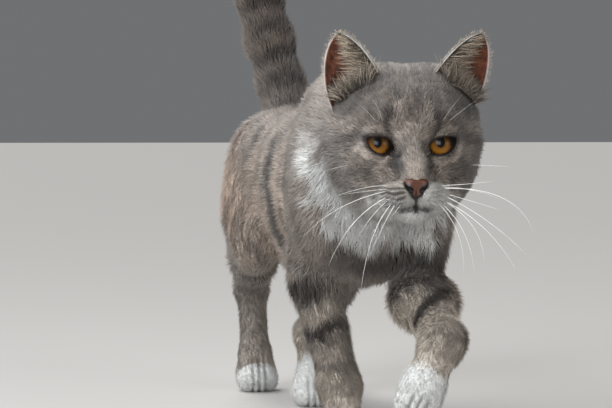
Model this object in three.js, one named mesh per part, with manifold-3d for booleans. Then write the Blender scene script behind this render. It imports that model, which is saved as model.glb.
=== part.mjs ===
// A life-size still model of a walking domestic cat, in millimetres.
// +X is the cat's left, -Y the way it walks and +Z up; the floor is at Z = 0.
//
// The body is one soft shape: named masses of flesh and coat that melt into each other.
// It is meshed where each body part lies, at the fineness that part needs, and parted by thin cuts.
import * as THREE from "three";
import { mergeVertices } from "three/addons/utils/BufferGeometryUtils.js";
import Module from "manifold-3d";

const wasm = await Module();
wasm.setup();

const GAP = 0.4; // clearance between touching parts
const { lerp, clamp, degToRad } = THREE.MathUtils;
const at = (x, y, z) => new THREE.Vector3(x, y, z);

// ---------------------------------------------------------------- sizes and places

const HEAD = { centre: at(3, -265, 204), yaw: -6.2 };
const EYE = { across: 19.5, radius: 10.5 };
const NOSE = { centre: at(0, -31, -26), halfWidth: 8, halfHeight: 6, depth: 16 };

const EAR = {
  halfWidth: 19.5,
  wall: 2.6,
  cup: 15, // how deep the shell is hollowed at its base
  sweep: 1.45, // how far round the shell wraps to each side, in radians
  rows: 7,
  columns: 6,
  sunkRows: 2,
};
// The middle of each ear's base, its tip, and the way its shell faces, in the head's frame.
const EARS = {
  ear_left: { root: at(27.5, 24, 33), tip: at(48, 20, 70.5), opens: at(0.45, -0.9, 0.1) },
  ear_right: { root: at(-31, 24, 34), tip: at(-43.5, 18, 70.5), opens: at(-0.36, -0.92, 0.1) },
};

// The longest whiskers: each starts within the pad at its root, leaves towards its bend and
// droops to its tip, in the head's frame.
const WHISKERS = {
  whisker_left_upper: { root: at(16, -26, -26), bend: at(60, -42, -24), tip: at(69.5, -45, -52.5) },
  whisker_left_lower: { root: at(17, -26, -33), bend: at(44, -40, -46), tip: at(59, -44, -75) },
  whisker_right_upper: { root: at(-16, -26, -27), bend: at(-52, -42, -33), tip: at(-70.5, -46, -54.5) },
  whisker_right_lower: { root: at(-17, -26, -31), bend: at(-42, -40, -41), tip: at(-55, -44, -72) },
};
const WHISKER = { rootRadius: 0.8, tipRadius: 0.4, sides: 3, steps: 4 };

const TAIL = [
  { at: at(-2, 146, 220), radius: 21 },
  { at: at(-5, 164, 250), radius: 19.5 },
  { at: at(-13, 172, 285), radius: 20 },
  { at: at(-21, 176, 322), radius: 19.5 },
  { at: at(-24, 178, 362), radius: 18.5 },
  { at: at(-22, 183, 402), radius: 17 },
  { at: at(-16, 193, 440), radius: 15 },
  { at: at(-9, 207, 472), radius: 12 },
];

// Each leg is walked from the trunk to the toes. The right fore leg and both hind legs carry
// the cat; the left fore leg swings forward with its paw hanging.
const LEGS = {
  foreleg_right: {
    shoulder: at(-35, -172, 172),
    elbow: at(-33, -122, 126),
    wrist: at(-19, -150, 42),
    ball: at(-17, -160, 11.5),
    toes: at(-17, -175, 8.5),
    muscle: at(18, 20, 19), // half sizes of the forearm's muscle and fur, below the elbow
  },
  foreleg_left: {
    shoulder: at(33, -178, 168),
    elbow: at(29, -180, 106),
    wrist: at(25, -262, 82),
    ball: at(10, -270, 54),
    toes: at(3, -273, 38),
    muscle: at(25, 24, 20),
  },
  hindleg_right: {
    hip: at(-30, 118, 180),
    knee: at(-40, 78, 130),
    hock: at(-26, 188, 86),
    ball: at(-24, 174, 11.5),
    toes: at(-24, 160, 8.5),
  },
  hindleg_left: {
    hip: at(22, 118, 180),
    knee: at(32, 54, 130),
    hock: at(14, 130, 50),
    ball: at(4, 72, 11.5),
    toes: at(3, 57, 8.5),
  },
};
const PAW = { toeSpread: 5, toeRadius: 7.4, ballRadius: 12.5 };

// How finely each part's skin is meshed: the edge of a cell.
const CELL = {
  nose: 3,
  jaw: 5,
  head: 8,
  paw: 7.8,
  forearm: 11,
  hock: 11.5,
  tail: 13,
  upperArm: 14,
  shank: 14,
  neck: 14,
  thigh: 17,
  trunk: 22,
};
// How far the zone that claims each part reaches to the sides of the part's own line.
const REACH = {
  paw: 26,
  hock: 26,
  shank: 28,
  forearm: 32,
  thigh: 34,
  thighDepth: 78,
  upperArm: 38,
  upperArmDepth: 62,
  tail: 40,
  neck: 90,
  trunk: 120,
};

// ---------------------------------------------------------------- masses

// A bar of flesh from a to b, round or flattened sideways, whose radius runs from ra to rb.
function bar(a, b, ra, rb, width = 1) {
  const axis = b.clone().sub(a);
  return (p) => {
    const along = clamp(p.clone().sub(a).dot(axis) / axis.lengthSq(), 0, 1);
    const off = p.clone().sub(a).addScaledVector(axis, -along);
    off.x /= width;
    return off.length() - lerp(ra, rb, along);
  };
}

// An egg-shaped mass with its half sizes, turned by tilt degrees about the cat's crosswise axis.
function egg(centre, half, tilt = 0) {
  const turn = degToRad(-tilt);
  return (p) => {
    const q = p.clone().sub(centre).applyAxisAngle(at(1, 0, 0), turn);
    const unit = q.clone().divide(half).length();
    const slope = q.clone().divide(half).divide(half).length();
    return slope > 0 ? (unit * (unit - 1)) / slope : -Math.min(...half.toArray());
  };
}

// Joins masses so that they melt into each other over about the given softness.
function melt(softness, ...masses) {
  return (p) =>
    masses.reduce((near, mass) => {
      const d = mass(p);
      const mix = Math.max(softness - Math.abs(near - d), 0) / softness;
      return Math.min(near, d) - (mix * mix * softness) / 4;
    }, 1e3);
}

// Presses a hollow into a mass, with a rounded edge.
function pressed(softness, mass, hollow) {
  return (p) => {
    const d = mass(p);
    const h = -hollow(p);
    const mix = Math.max(softness - Math.abs(d - h), 0) / softness;
    return Math.max(d, h) + (mix * mix * softness) / 4;
  };
}

const both = (make) => [make(1), make(-1)];

// ---------------------------------------------------------------- head

const headFrame = new THREE.Matrix4()
  .makeRotationZ(degToRad(HEAD.yaw))
  .setPosition(HEAD.centre);
const inHead = (p) => p.clone().applyMatrix4(headFrame);
const intoHead = headFrame.clone().invert();

// In the head's own frame the eyeballs lie at (+-across, 0, 0) and the face looks along -Y.
const skull = melt(
  12,
  egg(at(0, 32, 13), at(39, 42, 38)), // brain case
  ...both((s) => egg(at(s * 17, 34, 19), at(23, 34, 32))), // sides of the crown
  egg(at(0, 3, 15), at(25, 14, 21)), // forehead
  ...both((s) => egg(at(s * 17, 3, 15), at(14, 12, 8))), // brows
  ...both((s) => egg(at(s * 29, 33, 3), at(22, 27, 28))), // temples
  ...both((s) => egg(at(s * 24, 23, -15), at(20, 25, 20))), // jowls
  ...both((s) => egg(at(s * 22, 5, -17), at(15, 13, 12))), // cheek bones
  egg(at(0, 22, -28), at(34, 34, 18)), // jaw and throat
);
const muzzle = melt(
  6,
  bar(at(0, 2, 3), at(0, -23, -19), 12.5, 8.5), // bridge of the nose
  ...both((s) => egg(at(s * 10, -20, -30.5), at(12.5, 13, 9.5))), // whisker pads
  egg(at(0, -16, -40), at(10.5, 12, 8)), // chin
);
const eyeHollows = melt(4, ...both((s) => egg(at(s * 18.3, -15, 0), at(11.5, 10.5, 8))));
const headShape = pressed(5, melt(9, skull, muzzle), eyeHollows);

// ---------------------------------------------------------------- ears

// A closed body lofted through rings of equal length, the last of them drawn together to a tip.
function loft(rings) {
  const turns = rings[0].length;
  const points = rings.flat();
  const faces = [];
  for (let r = 0; r + 1 < rings.length; r++)
    for (let c = 0; c < turns; c++) {
      const [a, b] = [r * turns + c, r * turns + ((c + 1) % turns)];
      faces.push(a, b, b + turns, a, b + turns, a + turns);
    }
  for (const [ring, flip] of [[0, true], [rings.length - 1, false]]) {
    const middle = rings[ring].reduce((sum, p) => sum.add(p), at(0, 0, 0)).divideScalar(turns);
    points.push(middle);
    for (let c = 0; c < turns; c++) {
      const [a, b] = [ring * turns + c, ring * turns + ((c + 1) % turns)];
      faces.push(...(flip ? [b, a, points.length - 1] : [a, b, points.length - 1]));
    }
  }
  return new THREE.BufferGeometry().setFromPoints(points).setIndex(faces);
}

// An ear: a cupped shell, widest at its base and rounded to a tip.
function earShell({ root, tip, opens }) {
  const up = tip.clone().sub(root);
  const front = opens.clone().normalize();
  const across = up.clone().cross(front).normalize();
  const angles = Array.from({ length: EAR.columns + 1 }, (_, c) =>
    lerp(-EAR.sweep, EAR.sweep, c / EAR.columns),
  );
  const rings = [];
  for (let row = -EAR.sunkRows; row <= EAR.rows; row++) {
    const height = row / EAR.rows;
    const taper = Math.max(1 - Math.max(height, 0) ** 1.8, 0.005) ** 0.6;
    const half = EAR.halfWidth * taper;
    const depth = EAR.cup * taper;
    const spine = root.clone().addScaledVector(up, height);
    const wallPoint = (angle, inset) => {
      const reach = 1 - inset / Math.max(half, 2 * inset);
      return spine
        .clone()
        .addScaledVector(across, half * reach * Math.sin(angle))
        .addScaledVector(front, depth * (0.5 - reach * Math.cos(angle)) - inset / 3);
    };
    const outside = angles.map((angle) => wallPoint(angle, 0));
    const inside = angles.map((angle) => wallPoint(angle, EAR.wall)).reverse();
    rings.push([...inside, ...outside].reverse().map(inHead));
  }
  return loft(rings);
}

// A whisker: a slender rod that thins towards its tip.
function whiskerRod({ root, bend, tip }) {
  const curve = new THREE.QuadraticBezierCurve3(root, bend, tip);
  const { normals, binormals } = curve.computeFrenetFrames(WHISKER.steps);
  const rings = curve.getSpacedPoints(WHISKER.steps).map((middle, i) => {
    const radius = lerp(WHISKER.rootRadius, WHISKER.tipRadius, i / WHISKER.steps);
    return Array.from({ length: WHISKER.sides }, (_, side) => {
      const angle = (side / WHISKER.sides) * 2 * Math.PI;
      const across = normals[i].clone().multiplyScalar(radius * Math.cos(angle));
      return inHead(middle.clone().add(across).addScaledVector(binormals[i], radius * Math.sin(angle)));
    });
  });
  return loft(rings);
}

// ---------------------------------------------------------------- trunk, neck and tail

const torso = melt(
  26,
  egg(at(0, -88, 174), at(45, 84, 64)), // rib cage
  egg(at(-1, -148, 155), at(39, 42, 49)), // breast
  egg(at(-1, 10, 174), at(48, 88, 60)), // belly and loin
  egg(at(-2, 48, 122), at(25, 40, 23)), // pouch under the loin
  egg(at(-4, 98, 186), at(41, 66, 48)), // pelvis
  egg(at(-2, -100, 225), at(30, 58, 33)), // withers
);
const neck = melt(
  22,
  bar(at(-2, -140, 192), at(0, -222, 196), 48, 40),
  egg(at(0, -186, 166), at(36, 30, 36)), // bib over the throat
);

const tailBars = TAIL.slice(1).map((joint, i) =>
  bar(TAIL[i].at, joint.at, TAIL[i].radius, joint.radius),
);

// ---------------------------------------------------------------- legs

// A paw: its body from the joint above to the ball, and four toes side by side.
function paw(above, aboveRadius, ball, toes) {
  const forward = toes.clone().sub(ball);
  const sideways = at(1, 0, 0).projectOnPlane(forward.clone().normalize()).normalize();
  const toe = (place) => {
    const root = ball.clone().addScaledVector(sideways, 0.8 * PAW.toeSpread * place);
    const tip = toes
      .clone()
      .addScaledVector(sideways, PAW.toeSpread * place)
      .addScaledVector(forward, -0.1 * place ** 2);
    return bar(root, tip, PAW.toeRadius, PAW.toeRadius);
  };
  return [bar(above, ball, aboveRadius, PAW.ballRadius), melt(3, ...[-1.5, -0.5, 0.5, 1.5].map(toe))];
}

const foreleg = ({ shoulder, elbow, wrist, ball, toes, muscle }) =>
  melt(
    12,
    bar(shoulder, elbow, 26, 17, 0.72),
    egg(shoulder.clone().lerp(elbow, 0.3), at(16, 34, 32)),
    bar(elbow, wrist, 19.5, 13.5),
    egg(elbow.clone().lerp(wrist, 0.2), muscle),
    ...paw(wrist, 13.5, ball, toes),
  );

function hindleg({ hip, knee, hock, ball, toes }) {
  const calf = knee.clone().lerp(hock, 0.45);
  return melt(
    14,
    bar(hip, knee, 43, 27, 0.6),
    egg(hip.clone().lerp(knee, 0.45).add(at(0, 18, -6)), at(27, 48, 44)),
    bar(knee, calf, 24, 20, 0.8),
    bar(calf, hock, 19, 13),
    bar(hock, ball, 13, 11.5),
    ...paw(hock.clone().lerp(ball, 0.8), 11.5, ball, toes),
  );
}

// ---------------------------------------------------------------- the whole skin

const catShape = melt(
  18,
  melt(
    20,
    melt(26, torso, neck),
    foreleg(LEGS.foreleg_right),
    foreleg(LEGS.foreleg_left),
    hindleg(LEGS.hindleg_right),
    hindleg(LEGS.hindleg_left),
  ),
  melt(10, ...tailBars),
  (p) => headShape(p.clone().applyMatrix4(intoHead)),
);

// Meshes where a shape's surface lies in a box: one point in each cell that it crosses,
// drawn onto it, and one square round each grid edge that it crosses.
function meshed(shape, box, cell) {
  const cells = box.getSize(at(0, 0, 0)).divideScalar(cell).ceil().addScalar(3).toArray();
  const place = (i, j, k) => at(i - 1, j - 1, k - 1).multiplyScalar(cell).add(box.min);
  const index = (i, j, k) => i + cells[0] * (j + cells[1] * k);
  const rim = (n, axis) => n === 0 || n === cells[axis] - 1;
  const depth = [];
  for (let k = 0; k < cells[2]; k++)
    for (let j = 0; j < cells[1]; j++)
      for (let i = 0; i < cells[0]; i++)
        depth.push(rim(i, 0) || rim(j, 1) || rim(k, 2) ? cell : shape(place(i, j, k)));
  const strides = [1, cells[0], cells[0] * cells[1]];
  while (strides.some((u, axis) => fillDiagonals(depth, u, strides[(axis + 1) % 3], cell)));

  const corners = [0, 1, 2, 3, 4, 5, 6, 7].map((c) => [c & 1, (c >> 1) & 1, c >> 2]);
  const edges = corners.flatMap((corner, c) =>
    [1, 2, 4].filter((bit) => !(c & bit)).map((bit) => [corner, corners[c | bit]]),
  );
  const points = [];
  const pointOf = new Map();
  for (let k = 0; k + 1 < cells[2]; k++)
    for (let j = 0; j + 1 < cells[1]; j++)
      for (let i = 0; i + 1 < cells[0]; i++) {
        const sum = at(0, 0, 0);
        let crossed = 0;
        for (const [a, b] of edges) {
          const da = depth[index(i + a[0], j + a[1], k + a[2])];
          const db = depth[index(i + b[0], j + b[1], k + b[2])];
          if (da < 0 === db < 0) continue;
          const start = place(i + a[0], j + a[1], k + a[2]);
          sum.add(start.lerp(place(i + b[0], j + b[1], k + b[2]), da / (da - db)));
          crossed++;
        }
        if (!crossed) continue;
        pointOf.set(index(i, j, k), points.length);
        points.push(drawnOnto(shape, sum.divideScalar(crossed), cell));
      }

  const faces = [];
  const steps = [[1, 0, 0], [0, 1, 0], [0, 0, 1]];
  for (let k = 0; k + 1 < cells[2]; k++)
    for (let j = 0; j + 1 < cells[1]; j++)
      for (let i = 0; i + 1 < cells[0]; i++)
        steps.forEach((step, axis) => {
          const inside = depth[index(i, j, k)] < 0;
          if (inside === depth[index(i + step[0], j + step[1], k + step[2])] < 0) return;
          const u = steps[(axis + 1) % 3];
          const w = steps[(axis + 2) % 3];
          const ring = [[1, 1], [0, 1], [0, 0], [1, 0]].map(([m, n]) => {
            const cellBehind = [i, j, k].map((c, d) => c - m * u[d] - n * w[d]);
            return pointOf.get(index(...cellBehind));
          });
          if (!inside) ring.reverse();
          const [a, b, c, d] = ring;
          const even = points[a].distanceTo(points[c]) < points[b].distanceTo(points[d]);
          faces.push(...(even ? [a, b, c, a, c, d] : [b, c, d, b, d, a]));
        });
  return new THREE.BufferGeometry().setFromPoints(points).setIndex(faces);
}

// Where the inside of a shape meets itself only corner to corner across a square of the grid,
// takes one more corner in, and says whether it did: a surface there would touch itself.
function fillDiagonals(depth, u, w, cell) {
  let filled = false;
  for (let n = 0; n + u + w < depth.length; n++) {
    const [a, b, c, d] = [n, n + u, n + u + w, n + w].map((m) => depth[m] < 0);
    if (a !== c || b !== d || a === b) continue;
    const [first, second] = a ? [n + u, n + w] : [n, n + u + w];
    depth[depth[first] < depth[second] ? first : second] = -cell / 50;
    filled = true;
  }
  return filled;
}

// Moves a point near a shape's surface straight onto it.
function drawnOnto(shape, point, cell) {
  const step = 0.5;
  for (let pass = 0; pass < 3; pass++) {
    const d = shape(point);
    const slope = at(
      shape(point.clone().setX(point.x + step)) - d,
      shape(point.clone().setY(point.y + step)) - d,
      shape(point.clone().setZ(point.z + step)) - d,
    ).divideScalar(step);
    const move = slope.multiplyScalar(-d / Math.max(slope.lengthSq(), 0.25));
    point.add(move.clampLength(0, cell / 3));
  }
  return point;
}

// ---------------------------------------------------------------- solids

function solidOf(geometry) {
  const vertProperties = new Float32Array(geometry.getAttribute("position").array);
  const triVerts = new Uint32Array(geometry.index.array);
  return new wasm.Manifold(new wasm.Mesh({ numProp: 3, vertProperties, triVerts }));
}

function geometryOf(solid) {
  const { vertProperties, triVerts } = solid.getMesh();
  return new THREE.BufferGeometry()
    .setAttribute("position", new THREE.BufferAttribute(vertProperties, 3))
    .setIndex(new THREE.BufferAttribute(triVerts, 1));
}

// A geometry as a solid: its normals and texture places go, so that its points can be shared.
function closed(geometry) {
  geometry.deleteAttribute("normal");
  geometry.deleteAttribute("uv");
  return solidOf(mergeVertices(geometry, 1e-3));
}

// The zone of a body part: a box that runs from one point to another, reach to each side.
function zone(from, to, reach, depth = reach) {
  const length = from.distanceTo(to);
  const along = to.clone().sub(from).normalize();
  const turn = new THREE.Quaternion().setFromUnitVectors(at(0, 0, 1), along);
  const matrix = new THREE.Matrix4().compose(from.clone().lerp(to, 0.5), turn, at(1, 1, 1));
  return (grow) =>
    new THREE.BoxGeometry(2 * (reach + grow), 2 * (depth + grow), length + 2 * grow)
      .applyMatrix4(matrix);
}

// The cat's skin, or a skin that lies further out by grow, where it crosses a zone.
function skinIn(area, cell, grow = 0) {
  const box = new THREE.Box3().setFromBufferAttribute(area(cell).getAttribute("position"));
  return solidOf(meshed((p) => catShape(p) - grow, box, cell));
}

const largest = (solid) =>
  solid.decompose().reduce((most, piece) => (piece.volume() > most.volume() ? piece : most));

const finish = (color, roughness) =>
  new THREE.MeshStandardMaterial({ color, roughness, metalness: 0 });
const GREY_COAT = finish(0x8a7d75, 0.9);
const WHITE_COAT = finish(0xe6e2dc, 0.9);
const NOSE_LEATHER = finish(0x9c5240, 0.5);
const EYE_AMBER = finish(0xb87a1e, 0.1);

const cat = new THREE.Group();

function add(name, solid, material) {
  const mesh = new THREE.Mesh(geometryOf(largest(solid)), material);
  mesh.name = name;
  cat.add(mesh);
}

// Cuts the skin of one zone to the zone, less the floor and what earlier parts have claimed.
const floor = zone(at(0, 0, -100), at(0, 0, 0), 450);
const claimed = [closed(floor(0))];
function part(name, area, cell, material, ...cuts) {
  let solid = skinIn(area, cell).intersect(closed(area(0)));
  for (const cut of [...claimed, ...cuts]) solid = solid.subtract(cut);
  claimed.push(closed(area(GAP)));
  add(name, solid, material);
}

// ---------------------------------------------------------------- the head's parts

const headZone = zone(inHead(at(0, -70, 6)), inHead(at(0, 50, 6)), 80, 60);
const jawZone = zone(inHead(at(0, -50, -56)), inHead(at(0, -2, -56)), 15.5, 19.5);

const headBed = skinIn(headZone, CELL.head, GAP);
for (const [name, ear] of Object.entries(EARS))
  add(name, solidOf(earShell(ear)).subtract(headBed), GREY_COAT);
for (const [name, whisker] of Object.entries(WHISKERS))
  add(name, solidOf(whiskerRod(whisker)).subtract(headBed), WHITE_COAT);

const eyeball = (side, grow) =>
  closed(
    new THREE.SphereGeometry(EYE.radius + grow, 12, 7)
      .rotateX(Math.PI / 2)
      .translate(side * EYE.across, 0, 0)
      .applyMatrix4(headFrame),
  );
add("eye_left", eyeball(1, 0), EYE_AMBER);
add("eye_right", eyeball(-1, 0), EYE_AMBER);

// The nose leather: broad above and drawn in to the lip below, let into the muzzle.
function noseWedge(grow) {
  const half = NOSE.halfWidth + grow;
  const top = NOSE.halfHeight + grow;
  const depth = NOSE.depth + 2 * grow;
  const outline = new THREE.Shape()
    .moveTo(-half, top * 0.35)
    .quadraticCurveTo(-half, top, -half * 0.45, top)
    .lineTo(half * 0.45, top)
    .quadraticCurveTo(half, top, half, top * 0.35)
    .quadraticCurveTo(half * 0.4, -top * 0.6, half * 0.12, -top)
    .lineTo(-half * 0.12, -top)
    .quadraticCurveTo(-half * 0.4, -top * 0.6, -half, top * 0.35);
  const wedge = new THREE.ExtrudeGeometry(outline, { depth, bevelEnabled: false, curveSegments: 3 });
  wedge.translate(0, 0, -depth / 2).rotateX(Math.PI / 2);
  return closed(wedge.translate(...NOSE.centre.toArray()).applyMatrix4(headFrame));
}
const noseZone = zone(inHead(at(0, -46, -26)), inHead(at(0, -20, -26)), 12);
add("nose", skinIn(noseZone, CELL.nose).intersect(noseWedge(0)), NOSE_LEATHER);

part("jaw", jawZone, CELL.jaw, WHITE_COAT, noseWedge(GAP));
part("head", headZone, CELL.head, GREY_COAT, eyeball(1, GAP), eyeball(-1, GAP), noseWedge(GAP));

// ---------------------------------------------------------------- the body's parts

// A zone along a limb, from near to a little past far.
const limbZone = (near, far, reach, past = 30) =>
  zone(near, far.clone().sub(near).setLength(near.distanceTo(far) + past).add(near), reach);

part("tail_tip", limbZone(TAIL[5].at, TAIL[7].at, REACH.tail), CELL.tail, GREY_COAT);
part("tail_middle", zone(TAIL[3].at, TAIL[5].at, REACH.tail), CELL.tail, GREY_COAT);
part("tail_base", zone(TAIL[1].at, TAIL[3].at, REACH.tail), CELL.tail, GREY_COAT);

for (const side of ["right", "left"]) {
  const { shoulder, elbow, wrist, ball } = LEGS["foreleg_" + side];
  const cuff = wrist.clone().lerp(ball, 0.25);
  part("forepaw_" + side, limbZone(cuff, ball, REACH.paw), CELL.paw, WHITE_COAT);
  const below = elbow.clone().lerp(wrist, 0.2);
  part("forearm_" + side, limbZone(below, wrist, REACH.forearm), CELL.forearm, GREY_COAT);
  const low = at(elbow.x * 1.05, elbow.y + 8, elbow.z - 36);
  const high = at(shoulder.x * 1.35, shoulder.y + 4, shoulder.z + 12);
  const armZone = zone(low, high, REACH.upperArm, REACH.upperArmDepth);
  part("upper_arm_" + side, armZone, CELL.upperArm, GREY_COAT);
}
for (const side of ["right", "left"]) {
  const { hip, knee, hock, ball } = LEGS["hindleg_" + side];
  const cuff = hock.clone().lerp(ball, 0.62);
  part("hindpaw_" + side, limbZone(cuff, ball, REACH.paw), CELL.paw, WHITE_COAT);
  const heel = hock.clone().lerp(knee, 0.12);
  part("hock_" + side, limbZone(heel, cuff, REACH.hock), CELL.hock, GREY_COAT);
  const calf = knee.clone().lerp(hock, 0.38);
  part("shank_" + side, limbZone(calf, hock, REACH.shank), CELL.shank, GREY_COAT);
  const outwards = Math.sign(knee.x - hip.x);
  const low = knee.clone().add(at(27 * outwards, 26, -44));
  const high = hip.clone().add(at(29 * outwards, 10, 26));
  part("thigh_" + side, zone(low, high, REACH.thigh, REACH.thighDepth), CELL.thigh, GREY_COAT);
}
part("neck", zone(at(0, -176, 196), at(0, -262, 200), REACH.neck), CELL.neck, GREY_COAT);
part("trunk", zone(at(0, -240, 180), at(0, 250, 180), REACH.trunk), CELL.trunk, GREY_COAT);

// The cat's frame: on the floor, under the middle of its bounding box.
const extent = new THREE.Box3().setFromObject(cat);
const middle = extent.getCenter(at(0, 0, 0));
cat.position.set(-middle.x, -middle.y, -extent.min.z);

export default cat;
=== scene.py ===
"""A walking short-haired tabby and white cat, life-size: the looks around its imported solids."""

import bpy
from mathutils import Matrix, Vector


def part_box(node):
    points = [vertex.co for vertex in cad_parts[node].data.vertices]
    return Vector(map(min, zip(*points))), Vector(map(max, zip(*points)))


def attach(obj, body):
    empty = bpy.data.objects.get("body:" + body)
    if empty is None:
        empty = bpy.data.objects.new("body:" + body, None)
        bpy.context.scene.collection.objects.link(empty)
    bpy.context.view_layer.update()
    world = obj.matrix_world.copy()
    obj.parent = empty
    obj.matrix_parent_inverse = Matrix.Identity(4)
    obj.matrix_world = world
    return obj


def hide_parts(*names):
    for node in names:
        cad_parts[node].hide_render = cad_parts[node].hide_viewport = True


bl_info = {
    "name": "Walking Tabby Cat",
    "version": (1, 0, 0),
    "blender": (4, 5, 0),
    "location": "View3D > Sidebar > Cat",
    "description": "Skin, coat, eyes, nose and whiskers of a life-size walking cat",
    "category": "Object",
}

import math

import bpy
import numpy as np
from bpy.props import FloatProperty, FloatVectorProperty, IntProperty, PointerProperty
from mathutils import Matrix, Vector

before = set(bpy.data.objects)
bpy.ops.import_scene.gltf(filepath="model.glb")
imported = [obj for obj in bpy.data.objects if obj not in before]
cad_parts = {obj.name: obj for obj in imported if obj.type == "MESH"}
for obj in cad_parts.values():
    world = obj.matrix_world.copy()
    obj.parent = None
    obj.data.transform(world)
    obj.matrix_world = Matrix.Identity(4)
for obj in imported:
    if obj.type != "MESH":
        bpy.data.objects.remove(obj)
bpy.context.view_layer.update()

# ---------------------------------------------------------------- places
# Shapes are worked out in the cat's own frame, in millimetres: +X its left, -Y the way it
# walks, +Z up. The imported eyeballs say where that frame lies.

MM = 0.001
BODY = "root"
EYES_AT = np.array((3.0, -265.0, 204.0))
EYE_ACROSS = 19.5
EYE_RADIUS = 10.5


def middle_of(node):
    low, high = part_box(node)
    return np.array((low + high) / 2)


EYE_LINE = middle_of("eye_left") - middle_of("eye_right")
ORIGIN = (middle_of("eye_left") + middle_of("eye_right")) / 2 - EYES_AT * MM
HEAD_YAW = math.atan2(EYE_LINE[1], EYE_LINE[0])
HEAD_TURN = np.array(
    ((math.cos(HEAD_YAW), -math.sin(HEAD_YAW), 0), (math.sin(HEAD_YAW), math.cos(HEAD_YAW), 0), (0, 0, 1))
)


def point(x, y, z):
    return np.array((x, y, z), float)


def placed(points):
    """From the cat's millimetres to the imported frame's metres."""
    return np.asarray(points) * MM + ORIGIN


def into_head(points):
    """The head's own frame: between the eyes, the face looking along -Y."""
    return (points - EYES_AT) @ HEAD_TURN


def from_head(points):
    return points @ HEAD_TURN.T + EYES_AT


def soft(value, low, high):
    """A smooth step from 0 at low to 1 at high."""
    t = np.clip((value - low) / (high - low), 0, 1)
    return t * t * (3 - 2 * t)


def unit(vectors):
    return vectors / np.maximum(np.linalg.norm(vectors, axis=-1, keepdims=True), 1e-9)


def mottle(points, size, seed):
    """Smooth noise of about the given size in millimetres, from about -1 to 1."""
    rng = np.random.default_rng(seed)
    value = np.zeros(len(points))
    waves = 9
    for _ in range(waves):
        way = unit(rng.normal(size=3)) * (2 * math.pi / size) * rng.uniform(0.6, 1.7)
        value += np.sin(points @ way + rng.uniform(0, 2 * math.pi))
    return value / math.sqrt(waves / 1.4)


# ---------------------------------------------------------------- masses

def bar(a, b, ra, rb, width=1.0):
    """A bar of flesh from a to b, whose radius runs from ra to rb."""
    a, b = np.array(a, float), np.array(b, float)
    axis = b - a

    def depth(p):
        along = np.clip((p - a) @ axis / (axis @ axis), 0, 1)
        off = p - a - along[:, None] * axis
        off[:, 0] /= width
        return np.linalg.norm(off, axis=1) - (ra + (rb - ra) * along)

    return depth


def egg(centre, half):
    centre, half = np.array(centre, float), np.array(half, float)

    def depth(p):
        q = (p - centre) / half
        size = np.linalg.norm(q, axis=1)
        slope = np.linalg.norm(q / half, axis=1)
        return size * (size - 1) / np.maximum(slope, 1e-6)

    return depth


def melt(softness, *masses):
    """Joins masses so that they melt into each other over about the softness."""

    def depth(p):
        near = masses[0](p)
        for mass in masses[1:]:
            d = mass(p)
            mix = np.maximum(softness - np.abs(near - d), 0) / softness
            near = np.minimum(near, d) - mix * mix * softness / 4
        return near

    return depth


def pressed(softness, mass, hollow):
    """Presses a hollow into a mass, with a rounded edge."""

    def depth(p):
        d, h = mass(p), -hollow(p)
        mix = np.maximum(softness - np.abs(d - h), 0) / softness
        return np.maximum(d, h) + mix * mix * softness / 4

    return depth


def both(make):
    return [make(1), make(-1)]


SKULL = melt(
    12,
    egg((0, 32, 13), (39, 42, 38)),  # brain case
    *both(lambda s: egg((s * 17, 34, 19), (23, 34, 32))),  # sides of the crown
    egg((0, 3, 15), (25, 14, 21)),  # forehead
    *both(lambda s: egg((s * 17, 3, 15), (14, 12, 8))),  # brows
    *both(lambda s: egg((s * 29, 33, 3), (22, 27, 28))),  # temples
    *both(lambda s: egg((s * 24, 23, -15), (20, 25, 20))),  # jowls
    *both(lambda s: egg((s * 22, 5, -17), (15, 13, 12))),  # cheek bones
    egg((0, 22, -28), (34, 34, 18)),  # jaw and throat
)
LIPS = melt(3, *both(lambda s: egg((s * 10, -20, -30.5), (12.5, 13, 9.5))))
MUZZLE = melt(
    2.2,
    melt(6, bar((0, 2, 3), (0, -23, -19), 12.5, 8.5), LIPS),  # the bridge runs into the pads
    egg((0, -16, -40), (10.5, 12, 8)),  # chin
)
MOUTH_LINE = [(-20, -12, -36), (-11, -25, -38.6), (0, -31, -36.8), (11, -25, -38.6), (20, -12, -36)]
GROOVES = melt(
    1.5,
    bar((0, -37, -30), (0, -33, -37), 1.0, 1.3),  # from the nose to the lip
    *[bar(a, b, 1.1, 1.1) for a, b in zip(MOUTH_LINE, MOUTH_LINE[1:])],
)
EYE_HOLLOWS = melt(4, *both(lambda s: egg((s * 18.3, -15, 0), (11.5, 10.5, 8))))
HEAD_SHAPE = pressed(2, pressed(5, melt(9, SKULL, MUZZLE), EYE_HOLLOWS), GROOVES)

TORSO = melt(
    26,
    egg((0, -88, 174), (45, 84, 64)),  # rib cage
    egg((-1, -148, 155), (39, 42, 49)),  # breast
    egg((-1, 10, 174), (48, 88, 60)),  # belly and loin
    egg((-2, 48, 122), (25, 40, 23)),  # pouch under the loin
    egg((-4, 98, 186), (41, 66, 48)),  # pelvis
    egg((-2, -100, 225), (30, 58, 33)),  # withers
)
NECK = melt(22, bar((-2, -140, 192), (0, -222, 196), 48, 40), egg((0, -186, 166), (36, 30, 36)))
TAIL_LINE = np.array(
    [(-2, 146, 220), (-5, 164, 250), (-13, 172, 285), (-21, 176, 322),
     (-24, 178, 362), (-22, 183, 402), (-16, 193, 440), (-9, 207, 472)], float
)
TAIL_RADII = (21, 19.5, 20, 19.5, 18.5, 17, 15, 12)
TAIL = melt(
    10,
    *[bar(*ends, *radii) for ends, radii in zip(
        zip(TAIL_LINE, TAIL_LINE[1:]), zip(TAIL_RADII, TAIL_RADII[1:])
    )],
)

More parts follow.
